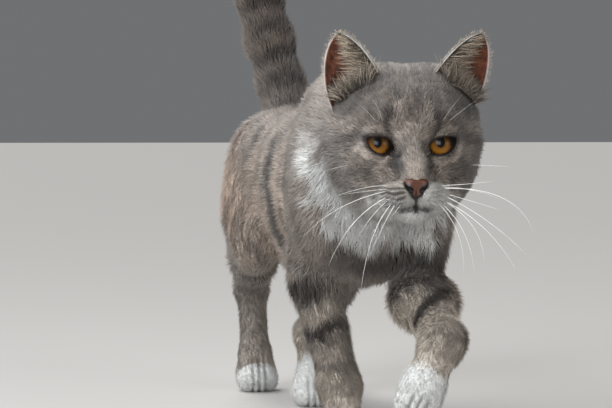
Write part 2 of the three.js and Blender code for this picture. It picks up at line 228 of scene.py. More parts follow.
# Each leg from the trunk to the toes: its joints, and for a fore leg its muscle's half sizes.
FORELEGS = {
    "right": (
        [(-35, -172, 172), (-33, -122, 126), (-19, -150, 42), (-17, -160, 11.5), (-17, -175, 8.5)],
        (18, 20, 19),
    ),
    "left": (
        [(33, -178, 168), (29, -180, 106), (25, -262, 82), (10, -270, 54), (3, -273, 38)],
        (25, 24, 20),
    ),
}
HINDLEGS = {
    "right": [(-30, 118, 180), (-40, 78, 130), (-26, 188, 86), (-24, 174, 11.5), (-24, 160, 8.5)],
    "left": [(22, 118, 180), (32, 54, 130), (14, 130, 50), (4, 72, 11.5), (3, 57, 8.5)],
}
TOE_SPREAD = 5.0
TOE_RADIUS = 7.4
BALL_RADIUS = 12.5
TOES = (-1.5, -0.5, 0.5, 1.5)


def paw_frame(ball, toes):
    forward = np.subtract(toes, ball).astype(float)
    way = unit(forward)
    sideways = unit(point(1, 0, 0) - way * way[0])
    return forward, sideways


def paw(above, above_radius, ball, toes):
    forward, sideways = paw_frame(ball, toes)
    roots = [np.add(ball, sideways * 0.8 * TOE_SPREAD * place) for place in TOES]
    tips = [np.add(toes, sideways * TOE_SPREAD * place) - forward * 0.1 * place**2 for place in TOES]
    return [
        bar(above, ball, above_radius, BALL_RADIUS),
        melt(1.5, *[bar(a, b, TOE_RADIUS, TOE_RADIUS) for a, b in zip(roots, tips)]),
    ]


def between(a, b, share):
    return np.add(a, np.subtract(b, a) * share)


def foreleg(joints, muscle):
    shoulder, elbow, wrist, ball, toes = joints
    return melt(
        12,
        bar(shoulder, elbow, 26, 17, 0.72),
        egg(between(shoulder, elbow, 0.3), (16, 34, 32)),
        bar(elbow, wrist, 19.5, 13.5),
        egg(between(elbow, wrist, 0.2), muscle),
        *paw(wrist, 13.5, ball, toes),
    )


def hindleg(joints):
    hip, knee, hock, ball, toes = joints
    calf = between(knee, hock, 0.45)
    return melt(
        14,
        bar(hip, knee, 43, 27, 0.6),
        egg(between(hip, knee, 0.45) + point(0, 18, -6), (27, 48, 44)),
        bar(knee, calf, 24, 20, 0.8),
        bar(calf, hock, 19, 13),
        bar(hock, ball, 13, 11.5),
        *paw(between(hock, ball, 0.8), 11.5, ball, toes),
    )


LEG_SHAPES = {
    "foreleg_right": foreleg(*FORELEGS["right"]),
    "foreleg_left": foreleg(*FORELEGS["left"]),
    "hindleg_right": hindleg(HINDLEGS["right"]),
    "hindleg_left": hindleg(HINDLEGS["left"]),
}
LEG_LINES = {
    "foreleg_right": FORELEGS["right"][0],
    "foreleg_left": FORELEGS["left"][0],
    "hindleg_right": HINDLEGS["right"],
    "hindleg_left": HINDLEGS["left"],
}


def head_mass(p):
    return HEAD_SHAPE(into_head(p))


CAT_SHAPE = melt(18, melt(20, melt(26, TORSO, NECK), *LEG_SHAPES.values()), TAIL, head_mass)
LIDS = melt(0.1, *both(lambda s: egg(from_head(point(s * EYE_ACROSS, 0, 0)), (EYE_RADIUS + 1.1,) * 3)))


def slope_of(field, p, step=0.4):
    here = field(p)
    return here, np.stack([(field(p + step * axis) - here) / step for axis in np.eye(3)], 1)


def drawn_onto(field, points, offset, passes):
    """Moves points straight onto the surface that lies offset under the field's own."""
    for _ in range(passes):
        here, slope = slope_of(field, points)
        move = slope * (-(here + offset) / np.maximum((slope**2).sum(1), 0.25))[:, None]
        length = np.linalg.norm(move, axis=1, keepdims=True)
        points = points + move * np.minimum(1, 3.0 / np.maximum(length, 1e-9))
    return points


def along_line(points, line):
    """How far points lie from a line of joints, how far along it, and the way it runs there."""
    line = np.array(line, float)
    best = np.full(len(points), 1e9)
    reach = np.zeros(len(points))
    way = np.zeros((len(points), 3))
    start = 0.0
    for a, b in zip(line, line[1:]):
        axis = b - a
        length = np.linalg.norm(axis)
        share = np.clip((points - a) @ axis / length**2, 0, 1)
        off = np.linalg.norm(points - a - share[:, None] * axis, axis=1)
        nearer = off < best
        best = np.where(nearer, off, best)
        reach = np.where(nearer, start + share * length, reach)
        way[nearer] = axis / length
        start += length
    return best, reach, way


# ---------------------------------------------------------------- eye openings

OPENING_STEPS = 96
SKIN_EDGE = 1.3  # the skin ends this far outside the opening between the lids
COAT_EDGE = 1.45  # and the tufts start this far outside it
RIM_PAINT = 1.8  # the skin and the first tufts are dark this far out
INNER_CORNER = np.array((-9.3, -4.2))
OUTER_CORNER = np.array((8.0, 4.3))


def eye_opening(grow=0.0):
    """The opening between the lids, seen from in front: points (outwards, up) from the eyeball's middle."""
    t = -np.cos(np.linspace(0, math.pi, OPENING_STEPS // 2, endpoint=False))
    bow = np.maximum(1 - t * t, 0)
    chord = INNER_CORNER + (OUTER_CORNER - INNER_CORNER) * ((t + 1) / 2)[:, None]
    upper = chord + np.stack((0 * t, 4.9 * bow**0.4 * (1 - 0.60 * t)), 1)
    lower = chord + np.stack((0 * t, -5.0 * bow**0.5 * (1 + 0.50 * t)), 1)
    end = OUTER_CORNER[None]
    outline = np.concatenate((lower, end, upper[:0:-1]))
    if grow:
        ahead, behind = np.roll(outline, -1, 0), np.roll(outline, 1, 0)
        run = unit(np.roll(ahead, -1, 0) + ahead - behind - np.roll(behind, 1, 0))
        outline = outline + np.stack((run[:, 1], -run[:, 0]), 1) * grow
    return outline


def in_outline(points, outline):
    inside = np.zeros(len(points), bool)
    for (x0, y0), (x1, y1) in zip(outline, np.roll(outline, -1, 0)):
        if y0 == y1:
            continue
        crosses = (y0 > points[:, 1]) != (y1 > points[:, 1])
        inside ^= crosses & (points[:, 0] < (x1 - x0) * (points[:, 1] - y0) / (y1 - y0) + x0)
    return inside


def eye_side(q):
    """Points of the head seen from in front, outwards and up from the nearer eyeball's middle."""
    return np.stack((np.abs(q[:, 0]) - EYE_ACROSS, q[:, 2]), 1)


def behind_lids(q, grow):
    return in_outline(eye_side(q), eye_opening(grow)) & (q[:, 1] < 4)


# ---------------------------------------------------------------- coat: depth, lie and pieces

NOSE_TIP = point(0, -35, -24)
# How deep the coat lies over each part, in millimetres.
COAT_DEPTH = {"head": 2.7, "neck": 5.0, "torso": 4.2, "tail": 4.6}
LEG_DEPTH = (3.6, 1.5)  # at the shoulder or hip, and at the toes
RUFF_DEPTH = 3.0  # more behind the cheeks
THROAT_DEPTH = 1.5
BELLY_DEPTH = 1.8
FURROW_DEPTH = 1.3  # how far the skin sinks between the toes
BLEND = 5.0  # how far one part's coat runs into the next one's
# Where one piece of the coat meets the next, in millimetres, and down each leg for the paws.
TRUNK_PARTING = -2
CHEST_FROM = -158
FACE_TO = 16
PAWS_FROM = {"foreleg_right": 165, "foreleg_left": 158, "hindleg_right": 238, "hindleg_left": 240}
COAT_PIECES = {  # the most triangles that each piece of the coat takes
    "coat_face_left": 185_000,
    "coat_face_right": 185_000,
    "coat_crown": 160_000,
    "coat_neck": 190_000,
    "coat_trunk_left": 150_000,
    "coat_trunk_right": 160_000,
    "coat_tail": 130_000,
    "coat_forelegs": 120_000,
    "coat_hindlegs": 130_000,
    "coat_paws": 60_000,
    "coat_ears": 50_000,
}
PIECE_NAMES = list(COAT_PIECES)
# How strongly neighbouring tufts differ; the rest of the coat is softer.
CRISPNESS = {"coat_face_left": 1.2, "coat_face_right": 1.2, "coat_crown": 1.1}
SOFT_COAT = 0.55
LONGEST_TUFT = 11.0


def head_coat(q):
    """The lie and the depth of the coat on the head, shortest round the eyes and nose."""
    lie = unit(q - NOSE_TIP)
    lie[:, 2] -= 0.35 * soft(q[:, 1], 0, 30) * (1 - soft(q[:, 2], 0, 25))
    eye_off = np.linalg.norm(np.stack((np.abs(q[:, 0]) - EYE_ACROSS, q[:, 1], q[:, 2]), 1), axis=1)
    nose_off = np.linalg.norm(q - point(0, -33, -24), axis=1)
    face = COAT_DEPTH["head"] - 0.6 * (1 - soft(q[:, 1], 0, 20))
    face = np.minimum(face, 0.9 + 1.6 * soft(eye_off, 11, 22))
    face = np.minimum(face, 0.45 + 1.2 * soft(nose_off, 6, 24))
    ruff = soft(np.abs(q[:, 0]), 24, 42) * soft(q[:, 1], 8, 30) * (1 - soft(q[:, 2], 8, 26))
    return unit(lie) @ HEAD_TURN.T, face + RUFF_DEPTH * ruff


def neck_coat(p):
    """The lie and the depth of the coat on the neck, which falls down over the throat."""
    front = soft(-p[:, 1], 165, 205)
    fall = np.stack((0 * front, 1 - 0.75 * front, -0.35 - 0.7 * front), 1)
    over = soft(p[:, 2], 205, 225)
    fall[:, 1] = fall[:, 1] * (1 - over) + over
    fall[:, 2] *= 1 - over
    return unit(fall), COAT_DEPTH["neck"] + THROAT_DEPTH * front


def torso_coat(p):
    """The lie and the depth of the coat on the trunk, longest under the belly."""
    chest = soft(-p[:, 1], 150, 185)
    flank = np.stack((0 * chest, 1 - 0.8 * chest, -0.3 - 0.7 * chest), 1)
    flank[:, 2] *= 1 - soft(p[:, 2], 205, 235)
    under = 1 - soft(p[:, 2], 110, 150)
    return unit(flank), COAT_DEPTH["torso"] + BELLY_DEPTH * under


def coat_piece(p, q, nearest, share):
    """Which piece of the coat each point belongs to, from the part that it is nearest to."""
    piece = np.full(len(p), PIECE_NAMES.index("coat_trunk_left"))
    piece[p[:, 0] < TRUNK_PARTING] = PIECE_NAMES.index("coat_trunk_right")
    chest = (nearest == "torso") & (p[:, 1] < CHEST_FROM)
    piece[(nearest == "neck") | chest] = PIECE_NAMES.index("coat_neck")
    piece[nearest == "tail"] = PIECE_NAMES.index("coat_tail")
    head = nearest == "head"
    face = head & (q[:, 1] < FACE_TO)
    piece[head] = PIECE_NAMES.index("coat_crown")
    piece[face & (q[:, 0] >= 0)] = PIECE_NAMES.index("coat_face_left")
    piece[face & (q[:, 0] < 0)] = PIECE_NAMES.index("coat_face_right")
    for name in LEG_LINES:
        mine = nearest == name
        legs = "coat_forelegs" if name.startswith("fore") else "coat_hindlegs"
        piece[mine] = PIECE_NAMES.index(legs)
        piece[mine & (share[name] > PAWS_FROM[name])] = PIECE_NAMES.index("coat_paws")
    return piece


def anatomy(p):
    """What each point lies on.

    The weights of the parts, how far down each leg it is, the lie of the coat, its depth, the
    skin's depth and the piece of the coat.
    """
    q = into_head(p)
    depths = {"head": HEAD_SHAPE(q), "neck": NECK(p), "torso": TORSO(p), "tail": TAIL(p)}
    depths.update({name: shape(p) for name, shape in LEG_SHAPES.items()})
    names = list(depths)
    stack = np.stack([depths[name] for name in names])
    weights = np.exp(-(stack - stack.min(0)) / BLEND)
    weights /= weights.sum(0)
    weight = dict(zip(names, weights))

    flow = np.zeros_like(p)
    cover = np.zeros(len(p))
    share = {}
    for name, (lie, deep) in {"head": head_coat(q), "neck": neck_coat(p), "torso": torso_coat(p)}.items():
        flow += weight[name][:, None] * lie
        cover += weight[name] * deep
    _, _, way = along_line(p, TAIL_LINE)
    flow += weight["tail"][:, None] * way
    cover += weight["tail"] * COAT_DEPTH["tail"]
    for name, line in LEG_LINES.items():
        _, reach, way = along_line(p, line)
        share[name] = reach
        length = sum(math.dist(a, b) for a, b in zip(line, line[1:]))
        flow += weight[name][:, None] * way
        down = soft(reach / length, 0.35, 0.95)
        cover += weight[name] * (LEG_DEPTH[0] + (LEG_DEPTH[1] - LEG_DEPTH[0]) * down)
    sink = cover + FURROW_DEPTH * toe_furrows(p)
    piece = coat_piece(p, q, np.array(names)[stack.argmin(0)], share)
    return weight, share, unit(flow), cover, sink, piece


def toe_furrows(p):
    """1 in the furrows between the toes, 0 elsewhere."""
    deep = np.zeros(len(p))
    for line in LEG_LINES.values():
        ball, toes = line[-2:]
        forward, sideways = paw_frame(ball, toes)
        near = np.linalg.norm(p - np.array(toes, float), axis=1) < 24
        across = (p - np.array(toes, float)) @ sideways / TOE_SPREAD
        along = (p - np.array(ball, float)) @ unit(forward)
        cut = sum(np.exp(-(((across - gap) * TOE_SPREAD / 1.2) ** 2)) for gap in (-1, 0, 1))
        deep = np.maximum(deep, near * cut * soft(along, 1, 12))
    return deep


# ---------------------------------------------------------------- markings

def near_stroke(p, stroke, radius):
    """1 on a painted stroke, fading to 0 at its radius."""
    best = np.full(len(p), 1e9)
    stroke = [np.array(s, float) for s in stroke]
    for a, b in zip(stroke, stroke[1:]):
        axis = b - a
        share = np.clip((p - a) @ axis / max(axis @ axis, 1e-9), 0, 1)
        best = np.minimum(best, np.linalg.norm(p - a - share[:, None] * axis, axis=1))
    return 1 - soft(best / radius, 0.35, 1.0)


# Strokes on the face, as (across, up) in the head's frame, mirrored to both sides:
# points, radius and strength.
DARK_STROKES = [
    ([(14.6, 18), (14.2, 13), (12.6, 8.5)], 2.6, 0.95),  # brow streak
    ([(14.6, 18), (12.5, 28), (12, 40), (13, 50)], 4.0, 0.40),  # outer line of the M
    ([(3.5, 20), (4.5, 34), (4.5, 50)], 2.6, 0.30),  # inner line of the M
    ([(10.5, -2.0), (10.0, -6.5)], 2.0, 1.0),  # inner corner of the eye
    ([(9.6, -5.6), (9.0, -9.0), (7.9, -14)], 1.7, 0.85),  # tear line
    ([(8.0, -13), (6.8, -19)], 2.8, 0.40),  # beside the bridge
    ([(30, 5), (38, 3), (50, 0)], 3.6, 0.55),  # from the eye's outer corner
    ([(52, -5), (44, -11), (34, -17), (24, -18)], 4.6, 0.50),  # cheek line
    ([(50, -16), (42, -23), (32, -27)], 4.0, 0.40),  # lower cheek line
    ([(22, 20), (33, 22), (42, 20)], 4.5, 0.35),  # above the brow
]
PALE_STROKES = [
    ([(0, 4), (0, -8), (0, -19)], 7.5, 0.75),  # bridge of the nose
    ([(12.5, -8.6), (18.5, -10.2), (25, -8.2), (29.5, -2.0)], 2.6, 0.85),  # under the eye
    ([(13, 9.5), (20, 9.6), (28, 7.6)], 2.4, 0.45),  # over the eye
    ([(31, 0), (35, -3)], 5.0, 0.35),  # behind the eye
    ([(38, 9), (46, 11)], 7.0, 0.40),  # temple
    ([(4, 7), (8, 14), (8, 24)], 4.0, 0.35),  # beside the brow streak
    ([(47, -10), (38, -13)], 3.6, 0.55),  # cheek
    ([(14, -20), (22, -22)], 7.0, 0.45),  # under the tear line
]
# Dark lips, with painted shade in the mouth line and in the groove from the nose to the lip.
LIP_AND_SHADE_STROKES = [
    ([(-12, -38.8), (0, -37.2), (12, -38.8)], 2.2, 0.85),
    ([(0, -37.6), (0, -36.6)], 3.4, 1.0),
    ([(0, -31), (0, -37)], 1.6, 0.9),
]
# Whiskers' rows on a pad: heights and how far back along the pad each row runs.
PAD_ROWS = (-26.0, -28.4, -30.8, -33.2, -35.4)

BIB = [  # white throat and chest: middle and radius of each patch, in the cat's frame
    ((0, -240, 163), 30), ((-36, -213, 184), 25), ((34, -215, 186), 24), ((-14, -207, 162), 26),
    ((14, -208, 163), 24), ((-47, -178, 198), 13), ((-44, -158, 207), 8), ((44, -180, 198), 12),
]
PAW_SHADE = 0.28
FURROW_SHADE = 0.35
STRIPE_PITCH = 27.0
TAIL_PITCH = 25.0
# Bands round the legs: how far down the leg in millimetres, half width and strength.
LEG_BANDS = {
    "foreleg_right": [(58, 6, 0.5), (86, 8, 0.95), (113, 8, 1.0), (127, 3.5, 0.5), (146, 4, 0.5)],
    "foreleg_left": [(48, 6, 0.5), (66, 7, 0.8), (121, 3, 0.45), (134, 3, 0.45), (149, 3, 0.45)],
    "hindleg_right": [
        (30, 9, 0.45), (62, 8, 0.5), (100, 7, 0.6), (128, 7, 0.5), (158, 7, 0.5), (190, 6, 0.4),
    ],
    "hindleg_left": [(30, 9, 0.45), (62, 8, 0.5), (100, 7, 0.6), (128, 7, 0.5), (158, 7, 0.4)],
}
# Bold strokes on the legs, flanks and chest, in the cat's frame: points, radius and strength. Two of them are
# partly painted shade.
BODY_STROKES_AND_SHADE = [
    ([(45, -212, 113), (33, -222, 111), (24, -230, 107), (15, -238, 99), (10, -234, 92)], 7.0, 1.0),
    ([(14, -205, 122), (30, -205, 130), (44, -195, 134)], 7.0, 0.6),
    # Dark band on the right flank behind the shoulder: a stripe, partly painted shade in the hollow there.
    ([(-42, -14, 207), (-47, -20, 180), (-46, -25, 160), (-41, -14, 143), (-33, 12, 123)], 12.0, 1.0),
    ([(-46, 40, 212), (-50, 34, 186), (-49, 32, 160), (-42, 40, 138)], 5.5, 0.6),
    ([(-48, 86, 206), (-52, 78, 180), (-52, 66, 152), (-46, 56, 130)], 6.0, 0.5),
    ([(-52, -120, 190), (-52, -128, 160), (-44, -136, 138)], 6.5, 0.55),
    ([(-56, -166, 170), (-52, -170, 150), (-44, -162, 130)], 6.5, 0.4),
    # Dark patch under the bib: dark fur, partly painted shade under the chin and chest.
    ([(-16, -190, 122), (6, -194, 118), (28, -206, 128)], 24.0, 0.9),
]


def mixed(base, colour, amount):
    return base + (np.asarray(colour) - base) * np.clip(amount, 0, 1)[:, None]


def flank_bars(p, weight, wobble):
    """Broken upright bars on the flanks, a dark line along the spine and darker mottling on the neck."""
    across = p[:, 1] + 0.22 * (p[:, 2] - 174) + 7.0 * wobble
    bars = soft(np.cos(2 * math.pi * across / STRIPE_PITCH), 0.05, 0.75)
    breaks = 0.5 + 0.5 * soft(mottle(p, 34, 5), -0.6, 0.3)
    side = soft(p[:, 2], 118, 140)
    dark = weight["torso"] * bars * breaks * side * 0.8
    spine = 1 - soft(np.abs(p[:, 0] + 2), 5, 13)
    dark = np.maximum(dark, weight["torso"] * spine * soft(p[:, 2], 205, 222) * 0.75)
    return np.maximum(dark, weight["neck"] * 0.45 * soft(mottle(p, 18, 6), 0.0, 0.8))


def tail_saddles(p, weight, wobble):
    """Saddles on the tail's upper side, weaker at its sides, and its dark tip."""
    _, reach, _ = along_line(p, TAIL_LINE)
    ring = soft(np.cos(2 * math.pi * (reach + 3 * wobble) / TAIL_PITCH), -0.25, 0.55)
    middle = np.interp(reach, *joints_across(TAIL_LINE))
    saddle = 1 - soft(np.abs(p[:, 0] - middle), 7, 15)
    dorsal = 0.35 + 0.65 * saddle
    tip = soft(reach, 236, 254)
    return weight["tail"] * np.maximum(ring * dorsal * 0.9, tip * 0.85)


def body_colour(p, weight, share, fine, colours):
    """The ground of the body, tail and legs, and how dark their stripes and bands are, with painted shade
    behind the right shoulder, under the chest and on the hind legs.
    """
    wobble = mottle(p, 46, 3)
    withers = 0.75 * soft(-p[:, 1], 60, 120) * (1 - soft(p[:, 2], 225, 245))
    base = np.tile(np.array(colours.flank), (len(p), 1))
    base = mixed(base, colours.back, soft(p[:, 2], 150, 232) * 0.9)
    base = mixed(base, colours.shoulder, withers)
    base = mixed(base, colours.belly, 1 - soft(p[:, 2], 98, 128))
    base = mixed(base, colours.tail, weight["tail"] * 0.8)
    dark = np.maximum(flank_bars(p, weight, wobble), tail_saddles(p, weight, wobble))
    for name, bands in LEG_BANDS.items():
        line = LEG_LINES[name]
        inwards = (p[:, 0] - np.interp(share[name], *joints_across(line))) * -np.sign(line[0][0])
        inner = soft(inwards, 2, 14)
        # The hind legs take the darker shoulder colour: painted shade, as they stand back in the shade.
        ground = colours.leg if name.startswith("fore") else colours.shoulder
        base = mixed(base, ground, weight[name] * 0.8 * soft(share[name], 40, 90))
        base = mixed(base, colours.belly, weight[name] * 0.75 * inner * soft(share[name], 20, 60))
        for place, half, strength in bands:
            off = np.abs(share[name] + 5 * wobble + 1.5 * fine - place) / half
            band = weight[name] * (1 - soft(off, 0.5, 1.3)) * strength * (1 - 0.55 * inner)
            dark = np.maximum(dark, band)
    body = weight["head"] < 0.5
    for stroke, radius, strength in BODY_STROKES_AND_SHADE:
        mark = near_stroke(p, stroke, radius * (1.25 + 0.25 * fine))
        dark = np.maximum(dark, body * mark * strength)
    return base, dark


def face_ground(q, seen, front, colours):
    """The ground of the head, with its fine streaks and pale marks."""
    # The head grows paler upwards to the crown colour: paler fur there, partly painted light from above and
    # behind.
    face = mixed(np.tile(np.array(colours.face), (len(q), 1)), colours.crown, soft(q[:, 2], 38, 58))
    streaks = soft(mottle(q * point(1, 0.5, 0.28), 5.5, 9), 0.1, 1.2) * soft(q[:, 2], 8, 22)
    face = mixed(face, colours.stripe_and_shade, streaks * 0.35)
    face = mixed(face, colours.belly, 0.35 * soft(-q[:, 2], 12, 34) * (1 - soft(np.abs(q[:, 0]), 34, 48)))
    for stroke, radius, strength in PALE_STROKES:
        face = mixed(face, colours.pale, near_stroke(seen, stroke, radius * 1.35) * strength * front)
    return face


def dark_marks(seen):
    mark = np.zeros(len(seen))
    for stroke, radius, strength in DARK_STROKES:
        mark = np.maximum(mark, near_stroke(seen, stroke, radius * 1.3) * strength)
    return mark


def muzzle_white(q, pads, chin):
    """White of the whisker pads, more on the left one, of the chin and of the throat behind it."""
    white = pads * np.where(q[:, 0] > 1.5, 0.55, 0.12 + 0.5 * soft(-q[:, 2], 33, 36))
    # The chin goes only 0.6 of the way to white: white fur with painted shade under the jaw.
    white = np.maximum(white, 0.6 * chin)
    return np.maximum(white, soft(-q[:, 2], 26, 36) * (1 - soft(np.abs(q[:, 0]), 22, 36)) * 0.8)


def pad_rows(q, pads, chin, fine):
    """The dark rows that the whiskers grow from."""
    rows = np.max([1 - soft(np.abs(q[:, 2] - row + 0.10 * np.abs(q[:, 0]) - 1 + 0.4 * fine), 0.3, 0.95)
                   for row in PAD_ROWS], axis=0)
    rows = rows * pads * soft(np.abs(q[:, 0]), 5, 8) * (1 - soft(np.abs(q[:, 0]), 19, 23))
    return rows * np.where(q[:, 0] > 0, 0.28, 0.85) * (1 - chin)


def throat_white(p, head):
    """White of the throat and bib, with a ragged edge."""
    bib = np.full(len(p), 1e9)
    for middle, radius in BIB:
        bib = np.minimum(bib, np.linalg.norm(p - np.array(middle, float), axis=1) - radius)
    return (1 - soft(bib + 3.5 * mottle(p, 15, 10), -5, 4)) * (1 - head)


def with_dark_skin_and_shade(base, q, head, colours):
    """Darkens the skin round the lids and along the mouth, their own dark skin, with painted shade in the
    seam under the nose leather and in the creases of the mouth and below the nose.
    """
    # Painted shade in the seam round the lower part of the nose leather.
    under_nose = in_outline(q[:, (0, 2)], nose_outline(0.5)) & (q[:, 1] < -20)
    base = mixed(base, colours.lid_lip_and_shade, 0.85 * under_nose * soft(-q[:, 2], 21.5, 24))
    base = mixed(base, colours.lid_lip_and_shade, 0.9 * behind_lids(q, RIM_PAINT))
    lips = np.zeros(len(q))
    for stroke, radius, strength in LIP_AND_SHADE_STROKES:
        ahead = soft(-q[:, 1], 16, 20)
        lips = np.maximum(lips, near_stroke(q[:, (0, 2)], stroke, radius) * strength * ahead)
    return mixed(base, colours.lid_lip_and_shade, lips * head)


def coat_colour(p, weight, share, colours):
    """The coat's colour at points of the skin: ground, stripes, bands and white, by anatomy."""
    q = into_head(p)
    head = weight["head"]
    fine = mottle(p, 9, 4)
    base, dark = body_colour(p, weight, share, fine, colours)

    # the head, whose marks are seen from in front and have ragged edges
    seen = np.stack((np.abs(q[:, 0]), q[:, 2]), 1)
    jitter = 0.9 * np.stack((mottle(p, 13, 7), mottle(p, 13, 8)), 1)
    front = 1 - soft(q[:, 1], 22, 46)
    pads = soft(-q[:, 1], 8, 18) * soft(-q[:, 2], 21, 25)
    chin = soft(-q[:, 2], 37.5, 39.5) * (1 - soft(q[:, 1], -2, 26))
    white = muzzle_white(q, pads, chin)
    face = face_ground(q, seen + jitter, front, colours)
    base = base * (1 - head[:, None]) + face * head[:, None]
    marks = dark_marks(seen + jitter * 0.7) * front * (1 - 0.9 * white)
    dark = np.where(head > 0.5, marks, dark)

    paws = white_paws(p, weight, fine)
    white = np.maximum(np.maximum(white * head, throat_white(p, head)), paws)
    base = mixed(base, colours.stripe_and_shade, dark * (1 - white))
    base = mixed(base, colours.white, white)
    base = base * (1 - PAW_SHADE * paws[:, None])
    base = base * (1 - FURROW_SHADE * toe_furrows(p)[:, None])
    base = with_dark_skin_and_shade(base, q, head, colours)
    base = mixed(base, colours.stripe_and_shade, pad_rows(q, pads, chin, fine) * head)
    return base * (1 + 0.10 * fine[:, None] * (1 - white[:, None]))


def joints_across(line):
    """How far along a line of joints each joint lies, and how far across the cat."""
    line = np.array(line, float)
    steps = np.concatenate(((0,), np.cumsum(np.linalg.norm(np.diff(line, axis=0), axis=1))))
    return steps, line[:, 0]


# Where each paw turns white: how far down its leg.
WHITE_FROM = {"foreleg_right": 179, "foreleg_left": 170, "hindleg_right": 258, "hindleg_left": 234}


def white_paws(p, weight, fine):
    white = np.zeros(len(p))
    for name, start in WHITE_FROM.items():
        _, reach, _ = along_line(p, LEG_LINES[name])
        white = np.maximum(white, weight[name] * soft(reach + 2.5 * fine, start - 4, start + 5))
    return white


# ---------------------------------------------------------------- meshes

def new_mesh(name, points, faces):
    """An object from points in the cat's millimetres and faces of one kind."""
    mesh = bpy.data.meshes.new(name)
    mesh.vertices.add(len(points))
    mesh.vertices.foreach_set("co", placed(points).astype(np.float32).ravel())
    sides = faces.shape[1]
    mesh.loops.add(faces.size)
    mesh.loops.foreach_set("vertex_index", faces.astype(np.int32).ravel())
    mesh.polygons.add(len(faces))
    mesh.polygons.foreach_set("loop_start", np.arange(0, faces.size, sides, dtype=np.int32))
    mesh.update(calc_edges=True)
    obj = bpy.data.objects.new(name, mesh)
    bpy.context.scene.collection.objects.link(obj)
    return obj


def ring_faces(rings, around):
    """The quads between closed rings of points, one ring after another."""
    grid = np.arange(rings * around).reshape(rings, around)
    a, b = grid[:-1], np.roll(grid, -1, 1)[:-1]
    c, d = np.roll(grid, -1, 1)[1:], grid[1:]
    return np.stack((a, b, c, d), -1).reshape(-1, 4)


def read_points(mesh):
    co = np.empty(len(mesh.vertices) * 3, np.float32)
    mesh.vertices.foreach_get("co", co)
    return (co.reshape(-1, 3).astype(float) - ORIGIN) / MM


def write_points(mesh, points):
    mesh.vertices.foreach_set("co", placed(points).astype(np.float32).ravel())
    mesh.update()


def read_edges(mesh):
    ends = np.empty(len(mesh.edges) * 2, np.int32)
    mesh.edges.foreach_get("vertices", ends)
    return ends.reshape(-1, 2)


def face_middles(mesh):
    middles = np.empty(len(mesh.polygons) * 3, np.float32)
    mesh.polygons.foreach_get("center", middles)
    return (middles.reshape(-1, 3).astype(float) - ORIGIN) / MM


def relaxed(points, edges, amount):
    """Each point drawn towards the middle of its neighbours."""
    a, b = edges.T
    count = np.bincount(a, minlength=len(points)) + np.bincount(b, minlength=len(points))
    size = len(points)
    total = np.stack(
        [np.bincount(a, points[b, k], size) + np.bincount(b, points[a, k], size) for k in range(3)], 1
    )
    return points + amount * (total / np.maximum(count, 1)[:, None] - points)


def set_attribute(mesh, name, kind, values):
    if kind == "FLOAT_COLOR":
        layer = mesh.color_attributes.new(name, kind, "POINT")
        values = np.concatenate((values, np.ones((len(values), 1))), 1)
        layer.data.foreach_set("color", values.astype(np.float32).ravel())
        return
    layer = mesh.attributes.new(name, kind, "POINT")
    field = "vector" if kind == "FLOAT_VECTOR" else "value"
    layer.data.foreach_set(field, np.ascontiguousarray(values).ravel())


def get_attribute(mesh, name, width=1):
    layer = mesh.attributes[name]
    field = {1: "value", 3: "vector", 4: "color"}[width]
    values = np.empty(len(mesh.vertices) * width, np.float32)
    layer.data.foreach_get(field, values)
    return values.reshape(-1, width).astype(float) if width > 1 else values.astype(float)


def deselect():
    bpy.ops.object.select_all(action="DESELECT")


def only(obj):
    deselect()
    obj.select_set(True)
    bpy.context.view_layer.objects.active = obj


def joined(objects, name):
    deselect()
    for obj in objects:
        obj.select_set(True)
    bpy.context.view_layer.objects.active = objects[0]
    bpy.ops.object.join()
    objects[0].name = objects[0].data.name = name
    return objects[0]


def edit_all(obj):
    """Goes into edit mode with the whole mesh selected."""
    only(obj)
    bpy.ops.object.mode_set(mode="EDIT")
    bpy.ops.mesh.select_all(action="SELECT")


def recalculated(obj):
    edit_all(obj)
    bpy.ops.mesh.normals_make_consistent(inside=False)
    bpy.ops.object.mode_set(mode="OBJECT")


def select_faces(obj, chosen):
    """Goes into edit mode with the chosen faces selected."""
    only(obj)
    bpy.context.tool_settings.mesh_select_mode = (False, False, True)
    mesh = obj.data
    mesh.vertices.foreach_set("select", np.zeros(len(mesh.vertices), bool))
    mesh.edges.foreach_set("select", np.zeros(len(mesh.edges), bool))
    mesh.polygons.foreach_set("select", chosen)
    bpy.ops.object.mode_set(mode="EDIT")


def smooth(obj):
    obj.data.polygons.foreach_set("use_smooth", np.ones(len(obj.data.polygons), bool))
    obj.data.update()


# ---------------------------------------------------------------- skin

EARS = {"ear_left": ((27.5, 24, 33), (48, 20, 70.5), (0.45, -0.9, 0.1), 1),
        "ear_right": ((-31, 24, 34), (-43.5, 18, 70.5), (-0.36, -0.92, 0.1), -1)}
WHISKER_NODES = tuple(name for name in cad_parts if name.startswith("whisker"))
HARD_NODES = ("eye_left", "eye_right", "nose", *WHISKER_NODES)
EAR_HALF_WIDTH = 19.5
EAR_CUP = 15.0
EAR_SWEEP = 1.45
EAR_WALL = 2.2
EAR_ROWS = 34
EAR_COLUMNS = 30
EAR_FUR = 3.4
EYE_ZONE = 14  # the skin has finer faces this near to an eyeball's middle
TOE_ZONE = 23  # and this near to the toes' ends
SKIN_UNDER_NOSE = 4.5  # the skin is pressed back this far under the nose leather


def flesh_of_nodes(voxel):
    """One closed mesh over all the nodes but the ears and whiskers; the eyeballs close the sockets."""
    copies = []
    for name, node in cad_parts.items():
        if name in WHISKER_NODES or name in EARS:
            continue
        copy = bpy.data.objects.new(name + "_flesh", node.data.copy())
        bpy.context.scene.collection.objects.link(copy)
        copies.append(copy)
    flesh = joined(copies, "skin")
    edit_all(flesh)
    bpy.ops.mesh.remove_doubles(threshold=1e-5)
    bpy.ops.object.mode_set(mode="OBJECT")
    flesh.data.remesh_voxel_size = voxel
    bpy.ops.object.voxel_remesh()
    keep_outside(flesh)
    return flesh


